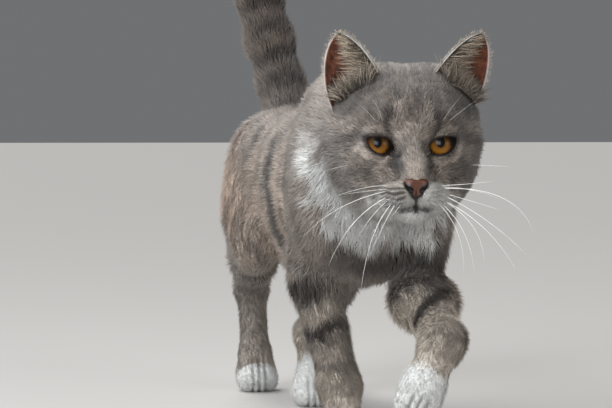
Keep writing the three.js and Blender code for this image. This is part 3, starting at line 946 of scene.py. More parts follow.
def keep_outside(obj):
    """Deletes every loose piece but the one that holds the highest point."""
    mesh = obj.data
    points = read_points(mesh)
    edges = read_edges(mesh)
    linked = np.zeros(len(points), bool)
    linked[points[:, 2].argmax()] = True
    while True:
        grown = linked.copy()
        grown[edges[linked[edges[:, 0]], 1]] = True
        grown[edges[linked[edges[:, 1]], 0]] = True
        if (grown == linked).all():
            break
        linked = grown
    if linked.all():
        return
    only(obj)
    bpy.context.tool_settings.mesh_select_mode = (True, False, False)
    mesh.polygons.foreach_set("select", np.zeros(len(mesh.polygons), bool))
    mesh.edges.foreach_set("select", np.zeros(len(mesh.edges), bool))
    mesh.vertices.foreach_set("select", ~linked)
    bpy.ops.object.mode_set(mode="EDIT")
    bpy.ops.mesh.delete(type="VERT")
    bpy.ops.object.mode_set(mode="OBJECT")


def skin_field(cover):
    """The skin: the coat's outside less the coat's depth, and lids over the eyeballs."""
    softness = 2.5

    def depth(p):
        flesh, lids = CAT_SHAPE(p) + cover, LIDS(p)
        mix = np.maximum(softness - np.abs(flesh - lids), 0) / softness
        return np.minimum(flesh, lids) - mix * mix * softness / 4

    return depth


def refined(obj, chosen):
    select_faces(obj, chosen)
    bpy.ops.mesh.subdivide(number_cuts=1)
    bpy.ops.object.mode_set(mode="OBJECT")


def eyeball_middle(q):
    return point(1, 0, 0) * np.sign(q[:, :1]) * EYE_ACROSS


def body_skin(voxel):
    flesh = flesh_of_nodes(voxel)
    q = into_head(face_middles(flesh.data))
    refined(flesh, (q[:, 1] < 20) & (q[:, 2] > -50) & (np.abs(q[:, 0]) < 60))
    q = into_head(face_middles(flesh.data))
    refined(flesh, (q[:, 1] < 4) & (np.abs(q[:, 0]) < 33) & (q[:, 2] > -49) & (q[:, 2] < 13))
    middles = face_middles(flesh.data)
    ends = [np.array(line[-1], float) for line in LEG_LINES.values()]
    refined(flesh, np.any([np.linalg.norm(middles - end, axis=1) < TOE_ZONE for end in ends], 0))
    mesh = flesh.data
    points, edges = read_points(mesh), read_edges(mesh)
    for share in (0.6, 0.5, 0.4):
        sink = anatomy(points)[4]
        points = drawn_onto(skin_field(sink), points, 0, 2)
        points = relaxed(points, edges, share)
    write_points(mesh, points)
    q = into_head(face_middles(mesh))
    refined(flesh, (np.linalg.norm(q - eyeball_middle(q), axis=1) < EYE_ZONE) & (q[:, 1] < 0))
    points, edges = read_points(mesh), read_edges(mesh)
    for _ in range(2):
        points = relaxed(points, edges, 0.5)
        points = drawn_onto(skin_field(anatomy(points)[4]), points, 0, 2)
    points[:, 2] = np.maximum(points[:, 2], 0.0)
    q = into_head(points)
    eyeball = eyeball_middle(q)
    sunk = eyeball + unit(q - eyeball) * (EYE_RADIUS - 2)
    sunk = np.where(behind_lids(q, SKIN_EDGE)[:, None], sunk, q)
    under_nose = in_outline(q[:, (0, 2)], nose_outline(-0.4)) & (q[:, 1] < -20)
    sunk[:, 1] += SKIN_UNDER_NOSE * under_nose
    points = np.where((sunk == q).all(1)[:, None], points, from_head(sunk))
    write_points(mesh, points)
    return flesh


def ear_axes(ear):
    root, tip, opens, side = EARS[ear]
    up = np.subtract(tip, root).astype(float)
    front = unit(np.array(opens, float))
    across = unit(np.cross(up, front)) * side
    return np.array(root, float), up, front, across


def ear_point(ear, height, angle, inset):
    """A point of an ear's shell; angle runs from -EAR_SWEEP, its inner edge, to its outer edge."""
    root, up, front, across = ear_axes(ear)
    taper = np.maximum(1 - np.maximum(height, 0) ** 1.8, 0.005) ** 0.6
    half = EAR_HALF_WIDTH * taper
    hollow = EAR_CUP * taper
    reach = 1 - inset / np.maximum(half, 2 * np.abs(inset) + 1e-6)
    edge_roll = 1.2 * soft(np.abs(angle), 1.0, EAR_SWEEP) * taper
    spot = root + up * height[:, None]
    spot = spot + across * (half * reach * np.sin(angle))[:, None]
    spot = spot + front * (hollow * (0.5 - reach * np.cos(angle)) - inset / 3 - edge_roll * 0.5)[:, None]
    return from_head(spot)


def ear_skin(ear, colours):
    """One ear's shell, from its sunk root to its tip, with its colours and lie."""
    heights = np.concatenate(([-0.28, -0.18, -0.08], 1 - (1 - np.linspace(0, 1, EAR_ROWS)) ** 1.25))
    turns = np.linspace(-EAR_SWEEP, EAR_SWEEP, EAR_COLUMNS)
    ring_angle = np.concatenate((turns, [EAR_SWEEP * 1.03], turns[::-1], [-EAR_SWEEP * 1.03]))
    coat = 1.0
    edge = [EAR_WALL / 2]
    insets = np.concatenate((np.full(EAR_COLUMNS, coat), edge, np.full(EAR_COLUMNS, EAR_WALL), edge))
    around = len(ring_angle)
    height = np.repeat(heights, around)
    angle = np.tile(ring_angle, len(heights))
    points = ear_point(ear, height, angle, np.tile(insets, len(heights)))
    faces = ring_faces(len(heights), around)
    side = EARS[ear][3]
    if side < 0:
        faces = faces[:, ::-1]
    obj = new_mesh(ear + "_shell", points, faces)
    select_faces(obj, np.ones(len(faces), bool))
    bpy.ops.mesh.fill_holes(sides=0)
    bpy.ops.mesh.normals_make_consistent(inside=False)
    bpy.ops.object.mode_set(mode="OBJECT")

    outside = np.tile(np.arange(around) < EAR_COLUMNS, len(heights))
    rim = np.tile(np.isin(np.arange(around), (0, EAR_COLUMNS - 1, EAR_COLUMNS, around - 1)), len(heights))
    colour = np.tile(np.array(colours.ear_back), (len(points), 1))
    # The inside runs from the dark ear shade on its inner, furred side to the reddish bare skin on its outer
    # side; that red is partly painted light shining through the thin ear.
    lateral = soft(angle, -0.3, 0.75)
    inside_colour = mixed(np.tile(np.array(colours.ear_shade), (len(points), 1)), colours.ear_skin, lateral)
    # Painted shade in the hollow: the deep middle of the cup near its root is darkened towards the stripe
    # colour.
    deep = (1 - soft(height, 0.02, 0.34)) * (1 - soft(np.abs(angle), 0.5, 1.3))
    inside_colour = mixed(inside_colour, colours.stripe_and_shade, deep)
    inside_colour = inside_colour * (1 + 0.35 * mottle(points, 5, 13))[:, None]
    colour = np.where(outside[:, None], colour, inside_colour)
    colour = mixed(colour, colours.white, rim * 0.6)
    up = ear_axes(ear)[1]
    flow = np.tile(unit(up) @ HEAD_TURN.T, (len(points), 1))
    fur = np.where(outside & (height > -0.05), EAR_FUR * (1 - 0.4 * soft(height, 0.5, 1)), 0.0)
    mesh = obj.data
    set_attribute(mesh, "coat", "FLOAT_COLOR", colour)
    set_attribute(mesh, "flow", "FLOAT_VECTOR", flow.astype(np.float32))
    set_attribute(mesh, "fur", "FLOAT", fur.astype(np.float32))
    set_attribute(mesh, "piece", "INT", np.full(len(points), PIECE_NAMES.index("coat_ears"), np.int32))
    return obj


FUR_PER_DEPTH = 2.6  # a tuft's length for each millimetre of the coat's depth
SHORTEST_TUFT = 1.6


def paint_skin(obj, colours):
    mesh = obj.data
    points = read_points(mesh)
    weight, share, flow, cover, _, piece = anatomy(points)
    set_attribute(mesh, "coat", "FLOAT_COLOR", coat_colour(points, weight, share, colours))
    set_attribute(mesh, "flow", "FLOAT_VECTOR", flow.astype(np.float32))
    fur = np.clip(cover * FUR_PER_DEPTH, SHORTEST_TUFT, LONGEST_TUFT)
    set_attribute(mesh, "fur", "FLOAT", fur.astype(np.float32))
    set_attribute(mesh, "piece", "INT", piece.astype(np.int32))


def unwrapped(obj):
    edit_all(obj)
    bpy.ops.uv.smart_project(angle_limit=math.radians(66), island_margin=0.002)
    bpy.ops.object.mode_set(mode="OBJECT")
    obj.data.uv_layers[0].name = "OFBake"


# ---------------------------------------------------------------- tufts

COVERAGE = 5.0  # layers of tufts over the skin
PATCH = 0.003  # a tuft's patch on the map
TUFT_WIDTH = (0.12, 0.055)  # millimetres, and for each millimetre of length
TUFT_LIFT = math.radians(21)
LIFT_SPREAD = math.radians(6)
TURN_SPREAD = 0.20  # radians, from tuft to tuft
CLUMP_TURN = 0.28  # radians, from clump to clump
LIFT_RANGE = (0.1, 0.7)
LENGTH_RANGE = (0.72, 1.18)
WIDTH_RANGE = (0.75, 1.25)
SUNK = 0.3
SPIKE_FACES = 4
TONE_SPREAD = 0.17  # how much tufts differ in brightness
DARK_TICKS = (0.14, 0.45)  # this share of the tufts is darker by this much
PALE_TICKS = (0.84, 0.55)  # and those above this share are paler by this much
ROOT_SHADE = 0.34
TIP_GAIN = 0.52
WHITE_LEVEL = (0.45, 0.6)  # colours this bright count as white, and vary less
CLUMP_SIZE = 15
TONE_CLUMPS = (6, 0.10)  # size and strength of paler and darker clumps
STREAKS = (1.25, 0.23)  # size and strength of the fine streaks away from the nose


def hair_free(q):
    """Where no tuft grows: behind the lids, under the nose leather and in the mouth."""
    nose = in_outline(q[:, (0, 2)], nose_outline(0.2)) & (q[:, 1] < -22)
    lips = near_stroke(q[:, (0, 2)], [(x, z) for x, _, z in MOUTH_LINE], 1.0) * soft(-q[:, 1], 16, 20)
    corner = near_stroke(eye_side(q), [INNER_CORNER, INNER_CORNER + (-1.0, -1.6)], 2.0) * (q[:, 1] < 4)
    return behind_lids(q, COAT_EDGE) | nose | (lips > 0.5) | (corner > 0.5)


def spikes(root, normal, lie, length, width, lift):
    """Closed straight spikes: a small triangle at the root, drawn out to one tip."""
    side = unit(np.cross(normal, lie))
    way = lie * np.cos(lift)[:, None] + normal * np.sin(lift)[:, None]
    rise = unit(np.cross(way, side))
    base = root - normal * SUNK
    half = (width / 2)[:, None]
    corners = (base + side * half, base - side * half, base - rise * half * 0.9, root + way * length[:, None])
    points = np.stack(corners, 1).reshape(-1, 3)
    start = np.arange(len(root))[:, None] * 4
    faces = np.concatenate([start + np.array(f) for f in ((0, 1, 3), (1, 2, 3), (2, 0, 3), (0, 2, 1))], 1)
    patch = np.array(((-0.5, -0.5), (0.5, -0.5), (0, -0.1), (0, 0.5)))
    heights = np.array((0, 0, 0, 1.0))
    return points, faces.reshape(-1, 3), patch, heights


def locks(root, normal, lie, length, width, lift):
    """Closed curved locks in two lengths, standing up first and then lying over."""
    side = unit(np.cross(normal, lie))
    base = root - normal * SUNK

    def rung(share, angle, narrow):
        way = lie * np.cos(angle)[:, None] + normal * np.sin(angle)[:, None]
        rise = unit(np.cross(way, side))
        spot = base + way * (length * share)[:, None]
        half = (width / 2 * narrow)[:, None]
        return [spot + side * half, spot - side * half, spot - rise * half * 0.9]

    tip_way = lie * np.cos(lift * 0.85)[:, None] + normal * np.sin(lift * 0.85)[:, None]
    corners = rung(0, lift, 1.0) + rung(0.5, lift * 1.35, 0.8) + [root + tip_way * length[:, None]]
    points = np.stack(corners, 1).reshape(-1, 3)
    start = np.arange(len(root))[:, None] * 7
    kinds = [(0, 2, 1)]
    for a, b in ((0, 1), (1, 2), (2, 0)):
        kinds += [(a, b, b + 3), (a, b + 3, a + 3), (a + 3, b + 3, 6)]
    faces = np.concatenate([start + np.array(f) for f in kinds], 1).reshape(-1, 3)
    patch = np.array(((-0.5, -0.5), (0.5, -0.5), (0, -0.3), (-0.4, 0), (0.4, 0), (0, 0.15), (0, 0.5)))
    heights = np.array((0, 0, 0, 0.5, 0.5, 0.5, 1.0))
    return points, faces, patch, heights


def tuft_mesh(name, make, root, normal, lie, length, width, lift, colour, place, rng):
    """One piece of the coat: its tufts, their colours from root to tip, and their map patches."""
    points, faces, patch, heights = make(root, normal, lie, length, width, lift)
    points[:, 2] = np.maximum(points[:, 2], 0.05)
    obj = new_mesh(name, points, faces)
    mesh = obj.data
    crisp = CRISPNESS.get(name, SOFT_COAT)
    bright = 1 + TONE_SPREAD * crisp * rng.normal(size=len(root)).clip(-2, 2)
    ticking = rng.random(len(root))
    level = colour.mean(1)
    grey = 1 - soft(level, *WHITE_LEVEL)
    bright = bright * np.where(ticking < DARK_TICKS[0], 1 - DARK_TICKS[1] * crisp * grey, 1)
    bright = bright * np.where(ticking > PALE_TICKS[0], 1 + PALE_TICKS[1] * crisp * grey, 1)
    shade = (1 - ROOT_SHADE * crisp**0.5 + TIP_GAIN * crisp**0.5 * heights)[None, :] * bright[:, None]
    shade = 1 + (shade - 1) * (1 - 0.7 * soft(level, *WHITE_LEVEL))[:, None]
    paint = np.clip(colour[:, None, :] * shade[:, :, None], 0, 0.95).reshape(-1, 3)
    set_attribute(mesh, "coat", "FLOAT_COLOR", paint)
    uv = place[:, None, :] + patch[None] * PATCH
    layer = mesh.uv_layers.new(name="OFBake")
    layer.uv.foreach_set("vector", uv.reshape(-1, 2)[faces.ravel()].astype(np.float32).ravel())
    return obj


def scatter(skin, coverage, seed, colours):
    """Covers the skin with tufts, piece by piece."""
    mesh = skin.data
    mesh.calc_loop_triangles()
    count = len(mesh.loop_triangles)
    tri = np.empty(count * 3, np.int32)
    loops = np.empty(count * 3, np.int32)
    mesh.loop_triangles.foreach_get("vertices", tri)
    mesh.loop_triangles.foreach_get("loops", loops)
    tri, loops = tri.reshape(-1, 3), loops.reshape(-1, 3)
    co = read_points(mesh)
    normals = np.empty(len(co) * 3, np.float32)
    mesh.vertex_normals.foreach_get("vector", normals)
    normals = normals.reshape(-1, 3).astype(float)
    flow = get_attribute(mesh, "flow", 3)
    fur = get_attribute(mesh, "fur")
    colour = get_attribute(mesh, "coat", 4)[:, :3]
    piece = np.empty(len(co), np.int32)
    mesh.attributes["piece"].data.foreach_get("value", piece)
    uv = np.empty(len(mesh.loops) * 2, np.float32)
    mesh.uv_layers["OFBake"].uv.foreach_get("vector", uv)
    uv = uv.reshape(-1, 2).astype(float)
    a, b, c = (co[tri[:, k]] for k in range(3))
    area = np.linalg.norm(np.cross(b - a, c - a), axis=1) / 2
    tri_fur = fur[tri].mean(1)
    width = TUFT_WIDTH[0] + TUFT_WIDTH[1] * tri_fur
    wanted = np.where(fur[tri].min(1) > 0, area * coverage / (0.5 * np.maximum(tri_fur, 1) * width), 0)
    pieces = {}
    for index, name in enumerate(PIECE_NAMES):
        rng = np.random.default_rng(seed + index)
        odds = np.where(piece[tri[:, 0]] == index, wanted, 0)
        total = odds.sum()
        if total <= 0:
            continue
        number = int(min(total, (COAT_PIECES[name] - 1000) / SPIKE_FACES))
        pick = rng.choice(count, number, p=odds / total)
        u, v = rng.random((2, number))
        fold = u + v > 1
        u[fold], v[fold] = 1 - u[fold], 1 - v[fold]
        mix = np.stack((1 - u - v, u, v), 1)[:, :, None]

        def at_roots(values, corners=tri):
            return (values[corners[pick]] * mix).sum(1)

        root = at_roots(co)
        keep = np.ones(number, bool)
        if name.startswith("coat_face"):
            keep = ~hair_free(into_head(root))
        normal = unit(at_roots(normals))
        lie = at_roots(flow)
        lie = unit(lie - normal * (lie * normal).sum(1)[:, None])
        side = np.cross(normal, lie)
        turn = TURN_SPREAD * rng.normal(size=number) + CLUMP_TURN * mottle(root, CLUMP_SIZE, seed)
        lie = lie * np.cos(turn)[:, None] + side * np.sin(turn)[:, None]
        length = (fur[tri[pick]] * mix[:, :, 0]).sum(1) * rng.uniform(*LENGTH_RANGE, number)
        lift = TUFT_LIFT + LIFT_SPREAD * rng.normal(size=number)
        wide = (TUFT_WIDTH[0] + TUFT_WIDTH[1] * length) * rng.uniform(*WIDTH_RANGE, number)
        clump = 1 + TONE_CLUMPS[1] * mottle(root, TONE_CLUMPS[0], seed + 40)
        paint = at_roots(colour)
        if name in CRISPNESS:
            weight, share = anatomy(root)[:2]
            paint = coat_colour(root, weight, share, colours)
            away = into_head(root) - NOSE_TIP
            far = np.linalg.norm(away, axis=1, keepdims=True)
            streak = mottle(unit(away) * (40 + 0.25 * (far - 40)), STREAKS[0], seed + 60)
            clump = clump * (1 + STREAKS[1] * streak)
        paint = paint * clump[:, None]
        place = at_roots(uv, loops)
        pieces[name] = tuft_mesh(
            name, spikes, root[keep], normal[keep], lie[keep], length[keep], wide[keep],
            np.clip(lift, *LIFT_RANGE)[keep], paint[keep], place[keep], rng,
        )
        print(f"{name}: {keep.sum()} tufts of {int(total)} wanted")
    return pieces


# ---------------------------------------------------------------- nose

NOSE_TOP = -20.2
NOSE_BOTTOM = -31.8
NOSE_HALF = 7.8


def nose_outline(grow=0.0):
    """The nose leather seen from in front: broad above and drawn in to the lip."""
    shape = [
        (-1.0, 0.22), (-0.97, 0.06), (-0.72, -0.03), (-0.3, -0.02), (0.0, 0.03), (0.3, -0.02),
        (0.72, -0.03), (0.97, 0.06), (1.0, 0.22), (0.86, 0.42), (0.62, 0.66), (0.30, 0.95),
        (0, 1.06), (-0.30, 0.95), (-0.62, 0.66), (-0.86, 0.42),
    ]
    tall = NOSE_TOP - NOSE_BOTTOM
    middle = (NOSE_TOP + NOSE_BOTTOM) / 2
    points = np.array([(x * NOSE_HALF, NOSE_TOP - z * tall) for x, z in shape])
    for _ in range(3):
        ahead = np.roll(points, -1, 0)
        points = np.stack((points * 0.75 + ahead * 0.25, points * 0.25 + ahead * 0.75), 1).reshape(-1, 2)
    centre = np.array((0, middle))
    return points + unit(points - centre) * grow


def on_face(x, z, start=-46.0, lift=0.0):
    """Points of the head's coat seen at (x, z) from in front, as the outside of the muzzle meets them."""
    q = np.stack((x, np.full(len(x), start), z), 1).astype(float)
    for _ in range(14):
        d = HEAD_SHAPE(q) - lift
        q[:, 1] += np.clip(d * 0.8, -2, 6)
    return q


def build_nose():
    """The nose leather: a pebbled pad with two comma-shaped nostrils and a parting below."""
    outline = nose_outline()
    centre = np.array((0, (NOSE_TOP + NOSE_BOTTOM) / 2 + 1.2))
    rings = np.linspace(0, 1, 30)
    flat = centre + (outline - centre)[None] * rings[1:, None, None]
    flat = np.concatenate((centre[None], flat.reshape(-1, 2)))
    around = len(outline)
    q = on_face(flat[:, 0], flat[:, 1], lift=0.9)
    x, z = flat[:, 0], flat[:, 1]
    edge = np.concatenate(([0], np.repeat(rings[1:], around)))
    swell = 0.9 * (1 - edge**4)
    parting = 0.7 * np.exp(-((x / 0.55) ** 2)) * soft(-z, 25.5, 28.5)
    away = np.stack((np.abs(x), z), 1)
    pit = near_stroke(away, [(3.3, -27.2), (4.6, -26.4)], 1.9)
    slit = near_stroke(away, [(4.4, -26.4), (6.9, -24.2)], 1.1)
    hole = np.maximum(pit, slit * 0.6) * 0.8
    wing = 0.5 * np.exp(-(((np.abs(x) - 3.6) ** 2 + (z + 24.0) ** 2) / 2.2))
    q[:, 1] += -swell - wing + parting + 3.2 * hole + 1.6 * edge**12
    # Painted shade: the nostrils, the parting and the leather's sides beside the nostrils are darkened as
    # they lie in shade; the lower edge is dark as well.
    stem = 1.3 + 5.9 * (1 - soft(-z, 20.6, 25.5))
    flank = soft(np.abs(x), stem, stem + 1.6) * soft(-z, 21.0, 23.0)
    foot = soft(-z, 28.5, 31.0)
    nostril_shade_and_edge = np.clip(hole * 1.3 + flank + 0.8 * foot + 0.4 * parting, 0, 1)
    faces = []
    for ring in range(len(rings) - 2):
        for k in range(around):
            a, b = 1 + ring * around + k, 1 + ring * around + (k + 1) % around
            faces.append((a, b, b + around, a + around))
    hub = [(0, 1 + (k + 1) % around, 1 + k) for k in range(around)]
    back = q[-around:].copy()
    back[:, 1] += 5
    middle = back.mean(0)
    points = np.concatenate((q, back, middle[None]))
    last = 1 + (len(rings) - 2) * around
    wall = [(last + k, last + (k + 1) % around, len(q) + (k + 1) % around, len(q) + k) for k in range(around)]
    cap = [(len(q) + k, len(q) + (k + 1) % around, len(points) - 1) for k in range(around)]
    quads = np.array(faces + wall)
    halves = (quads[:, (0, 1, 2)], quads[:, (0, 2, 3)])
    triangles = np.concatenate((*halves, np.array(hub)[:, ::-1], np.array(cap)))
    obj = new_mesh("nose_leather", from_head(points), triangles)
    # The dark attribute holds the dark lower edge and the painted shade of the nostrils, their sides and the
    # parting.
    shade = np.concatenate((nostril_shade_and_edge, np.zeros(around + 1)))
    set_attribute(obj.data, "dark", "FLOAT", shade.astype(np.float32))
    recalculated(obj)
    smooth(obj)
    return obj


# ---------------------------------------------------------------- eyes

CORNEA_RISE = 0.9
PUPIL = (2.4, 3.6)  # half width and half height, in millimetres
PUPIL_AT = (0.0, 2.4)
IRIS_RADIUS = 7.2
IRIS_AT = (-0.2, 1.1)  # outwards and up from the eyeball's middle
GAZE = -2.0  # both eyes look this far to the cat's right


def cornea_rise(off):
    return CORNEA_RISE * (1 - soft(off, 0, IRIS_RADIUS))


def build_eye(side):
    """An eyeball with its clear bulge, marked with its own places for the iris."""
    centre = placed(from_head(point(side * EYE_ACROSS, 0, 0)))
    deselect()
    bpy.ops.mesh.primitive_uv_sphere_add(
        segments=72, ring_count=48, radius=EYE_RADIUS * MM,
        location=centre, rotation=(math.pi / 2, 0, HEAD_YAW),
    )
    obj = bpy.context.active_object
    bpy.ops.object.transform_apply(location=True, rotation=True, scale=True)
    obj.name = obj.data.name = "eye_left_ball" if side > 0 else "eye_right_ball"
    points = read_points(obj.data)
    local = into_head(points) - point(side * EYE_ACROSS, 0, 0)
    off = np.hypot(local[:, 0], local[:, 2])
    rise = cornea_rise(off) * (local[:, 1] < 0)
    lifted = local * (1 + rise / EYE_RADIUS)[:, None]
    write_points(obj.data, from_head(lifted + point(side * EYE_ACROSS, 0, 0)))
    spot = np.stack(((local[:, 0] - GAZE) * side, local[:, 2], local[:, 1]), 1)
    set_attribute(obj.data, "iris_place", "FLOAT_VECTOR", spot.astype(np.float32))
    smooth(obj)
    return obj


# A lid's edge, from where it leaves the eyeball to where it sinks under the fur:
# how far out from the opening, and how far proud of the eyeball.
LID_PROFILE = [(0.8, -1.6), (0.1, -0.35), (-0.05, 0.1), (0.0, 0.26), (0.15, 0.34), (0.5, 0.32), (0.9, 0.1),
               (1.5, -0.5)]


def build_lids():
    """The dark rims of both eyes, with the drawn-out inner corners."""
    rims = []
    for side in (1, -1):
        rows = []
        for out, proud in LID_PROFILE:
            outline = eye_opening(max(out, 0) + 1e-6) if out > 0 else eye_opening()
            corner = np.exp(-(np.linalg.norm(outline - INNER_CORNER * 1.06, axis=1) / 2.6) ** 2)
            u, z = outline.T
            u = u - 2.0 * corner * soft(out, 0.1, 1.2)
            z = z - 1.2 * corner * soft(out, 0.1, 1.2)
            shell = EYE_RADIUS + proud + cornea_rise(np.hypot(u, z))
            y = -np.sqrt(np.maximum(shell**2 - u**2 - z**2, 4.0))
            q = np.stack((side * (EYE_ACROSS + u), y, z), 1)
            skin = on_face(q[:, 0], q[:, 2], start=-30.0, lift=-0.9)
            if out > 0.1:
                lay = soft(out, 0.1, 1.0)
                fur = skin[:, 1] + 0.1 + max(out - 0.9, 0) * 1.6
                q[:, 1] = np.minimum(q[:, 1], q[:, 1] * (1 - lay) + fur * lay)
            rows.append(q)
        around = len(rows[0])
        faces = ring_faces(len(rows), around)
        if side < 0:
            faces = faces[:, ::-1]
        rims.append(new_mesh("rim", from_head(np.concatenate(rows)), faces))
    lids = joined(rims, "lid_rims")
    smooth(lids)
    return lids


# ---------------------------------------------------------------- whiskers, ear hairs and pads

def tubes(name, paths, radii):
    """Thin closed tubes along paths of equal length, each radius running out to the tip."""
    sides = 5
    paths = np.array(paths)
    count, steps = paths.shape[:2]
    run = unit(np.gradient(paths, axis=1))
    first = unit(np.cross(run, np.tile(unit(point(0.3, 0.2, 1)), run.shape[:2] + (1,))))
    second = np.cross(run, first)
    turn = np.arange(sides) * 2 * math.pi / sides
    taper = (1 - np.linspace(0, 1, steps) ** 1.5 * 0.85)
    radius = np.asarray(radii)[:, None] * taper
    ring = first[:, :, None] * np.cos(turn)[:, None] + second[:, :, None] * np.sin(turn)[:, None]
    points = paths[:, :, None] + ring * radius[:, :, None, None]
    ends = paths[:, (0, -1)][:, :, None]
    points = np.concatenate((points.reshape(count, -1, 3), ends.reshape(count, -1, 3)), 1)
    faces = []
    for step in range(steps - 1):
        for k in range(sides):
            a, b = step * sides + k, step * sides + (k + 1) % sides
            faces += [(a, b, b + sides), (a, b + sides, a + sides)]
    root, tip = steps * sides, steps * sides + 1
    last = (steps - 1) * sides
    for k in range(sides):
        faces += [((k + 1) % sides, k, root), (last + k, last + (k + 1) % sides, tip)]
    each = steps * sides + 2
    faces = np.array(faces)[None] + (np.arange(count) * each)[:, None, None]
    obj = new_mesh(name, points.reshape(-1, 3), faces.reshape(-1, 3))
    recalculated(obj)
    return obj


WHISKER_STEPS = 16
WHISKER_RADIUS = 0.21
# Whiskers in the head's frame: each starts in its pad, leaves towards its bend and droops to
# its tip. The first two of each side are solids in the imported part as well.
WHISKERS = {
    "left": [
        ((16, -26, -26), (60, -42, -24), (69.5, -45, -52.5)),
        ((17, -26, -33), (44, -40, -46), (59, -44, -75)),
        ((17, -27, -30), (43, -38, -43), (66, -42, -66)),
        ((17, -27, -25), (36, -34, -25), (50, -36, -32)),
        ((18, -25, -34), (39, -36, -46), (40, -40, -70)),
        ((16, -27, -35), (32, -36, -50), (34, -40, -76)),
        ((14, -28, -35), (29, -35, -50), (28, -38, -76)),
        ((18, -26, -29), (35, -34, -33), (51, -36, -39)),
        ((16, -27, -24), (34, -32, -23), (48, -33, -21)),
        ((38, 4, -12), (48, -6, -12), (60, -12, -13)),
    ],
    "right": [
        ((-16, -26, -27), (-52, -42, -33), (-70.5, -46, -54.5)),
        ((-17, -26, -31), (-42, -40, -41), (-55, -44, -72)),
        ((-17, -27, -26), (-32, -34, -27), (-45, -36, -29)),
        ((-14, -28, -34), (-30, -38, -50), (-35, -42, -88)),
        ((-12, -28, -34), (-22, -36, -47), (-30, -40, -67)),
        ((-16, -27, -30), (-33, -36, -38), (-46, -40, -54)),
        ((-16, -27, -32), (-30, -35, -43), (-38, -38, -58)),
        ((-9, -29, -35), (-14, -34, -40), (-19, -36, -47)),
        ((-17, -27, -24), (-34, -34, -24), (-52, -37, -31)),
        ((-38, 4, -12), (-46, -6, -13), (-56, -12, -16)),
    ],
}
# Hairs over each eye, mirrored: root, bend, tip.
BROW_WHISKERS = [
    ((18, -8, 13), (21, -20, 22), (29, -26, 32)),
    ((21, -6, 13), (27, -18, 21), (38, -22, 28)),
]


def build_whiskers():
    rng = np.random.default_rng(11)
    t = np.linspace(0, 1, WHISKER_STEPS)[:, None]
    paths, radii = [], []

    def grow(root, bend, tip, radius):
        root, bend, tip = (np.array(spot, float) for spot in (root, bend, tip))
        bend = bend + rng.normal(size=3) * 0.6
        paths.append(from_head(root * (1 - t) ** 2 + bend * 2 * t * (1 - t) + tip * t**2))
        radii.append(radius)

    for curves in WHISKERS.values():
        for root, bend, tip in curves:
            grow(root, bend, tip, WHISKER_RADIUS * (math.dist(root, tip) / 55) ** 0.5)
    for side in (1, -1):
        for curve in BROW_WHISKERS:
            grow(*(point(side, 1, 1) * np.array(spot) for spot in curve), WHISKER_RADIUS * 0.36)
    return tubes("whiskers", paths, radii)


EAR_HAIRS = 620
EAR_DOWN = 900
EAR_BASE = 420
EAR_FRINGE = 340


def ear_down(ear, colours, rng):
    """Short down over an ear's inside and a pale fringe along its edge, as rows of tufts."""
    _, up, front, across = ear_axes(ear)
    count = EAR_DOWN + EAR_FRINGE
    edge = np.arange(count) >= EAR_DOWN
    height = np.where(edge, rng.random(count) * 1.02, rng.random(count) ** 0.8 * 0.93)
    side = np.where(rng.random(count) < 0.5, -1.0, 1.0)
    angle = np.where(edge, side * EAR_SWEEP, rng.uniform(-0.5, 1.3, count))
    inset = np.where(edge, EAR_WALL / 2, EAR_WALL + 0.05)
    start = ear_point(ear, height, angle, inset)
    normal = unit(ear_point(ear, height, angle, inset + 1.0) - start)
    outwards = np.where(edge, side, 0.5)[:, None] * across[None]
    toward = outwards + unit(up)[None] * 0.9 + front[None] * np.where(edge, 0.25, 0.1)[:, None]
    lie = unit((toward + rng.normal(size=(count, 3)) * 0.22) @ HEAD_TURN.T)
    length = np.where(edge, rng.uniform(1.5, 4.4, count), rng.uniform(3, 6.5, count) * (1.1 - 0.6 * height))
    wide = np.where(edge, 0.16, rng.uniform(0.22, 0.42, count))
    lift = np.where(edge, 0.1, rng.uniform(0.1, 0.5, count))
    pale = rng.random(count)[:, None]
    down = np.array(colours.ear_skin) * 1.1 + np.array(colours.ear_hair) * 0.22 * pale**2
    colour = np.where(edge[:, None], np.array(colours.ear_hair) * (0.75 + 0.5 * pale), down)
    place = np.stack((0.05 + 0.9 * np.clip(height, 0, 1), 0.5 + 0.4 * angle / EAR_SWEEP * EARS[ear][3]), 1)
    return start, normal, lie, length, wide, lift, np.clip(colour, 0, 0.9), place


def ear_base_hairs(ear, colours, rng):
    """Beige and dark hairs before an ear's root, lying up and outwards over the foot of its opening."""
    root, up, front, across = ear_axes(ear)
    count = EAR_BASE
    along = rng.uniform(-15, 17, count)
    q = root + across * along[:, None] + front * rng.uniform(5, 19, count)[:, None] + unit(up) * 2.0
    q = drawn_onto(HEAD_SHAPE, q, -2.0, 8)
    normal = unit(slope_of(HEAD_SHAPE, q)[1])
    toward = across[None] * (0.25 + along[:, None] / 22) + unit(up)[None] + rng.normal(size=(count, 3)) * 0.22
    lie = unit(toward - normal * (toward * normal).sum(1)[:, None] * 0.7)
    length = rng.uniform(6, 13, count)
    wide = rng.uniform(0.22, 0.5, count)
    lift = rng.uniform(0.15, 0.5, count)
    tone = rng.random(count)
    dark = np.tile(np.array(colours.stripe_and_shade), (count, 1))
    colour = mixed(dark, np.multiply(colours.ear_hair, 0.7), tone**1.5)
    place = np.stack((0.5 + along / 40, np.full(count, 0.97)), 1)
    start, normal, lie = from_head(q), normal @ HEAD_TURN.T, lie @ HEAD_TURN.T
    return start, normal, lie, length, wide, lift, colour, place


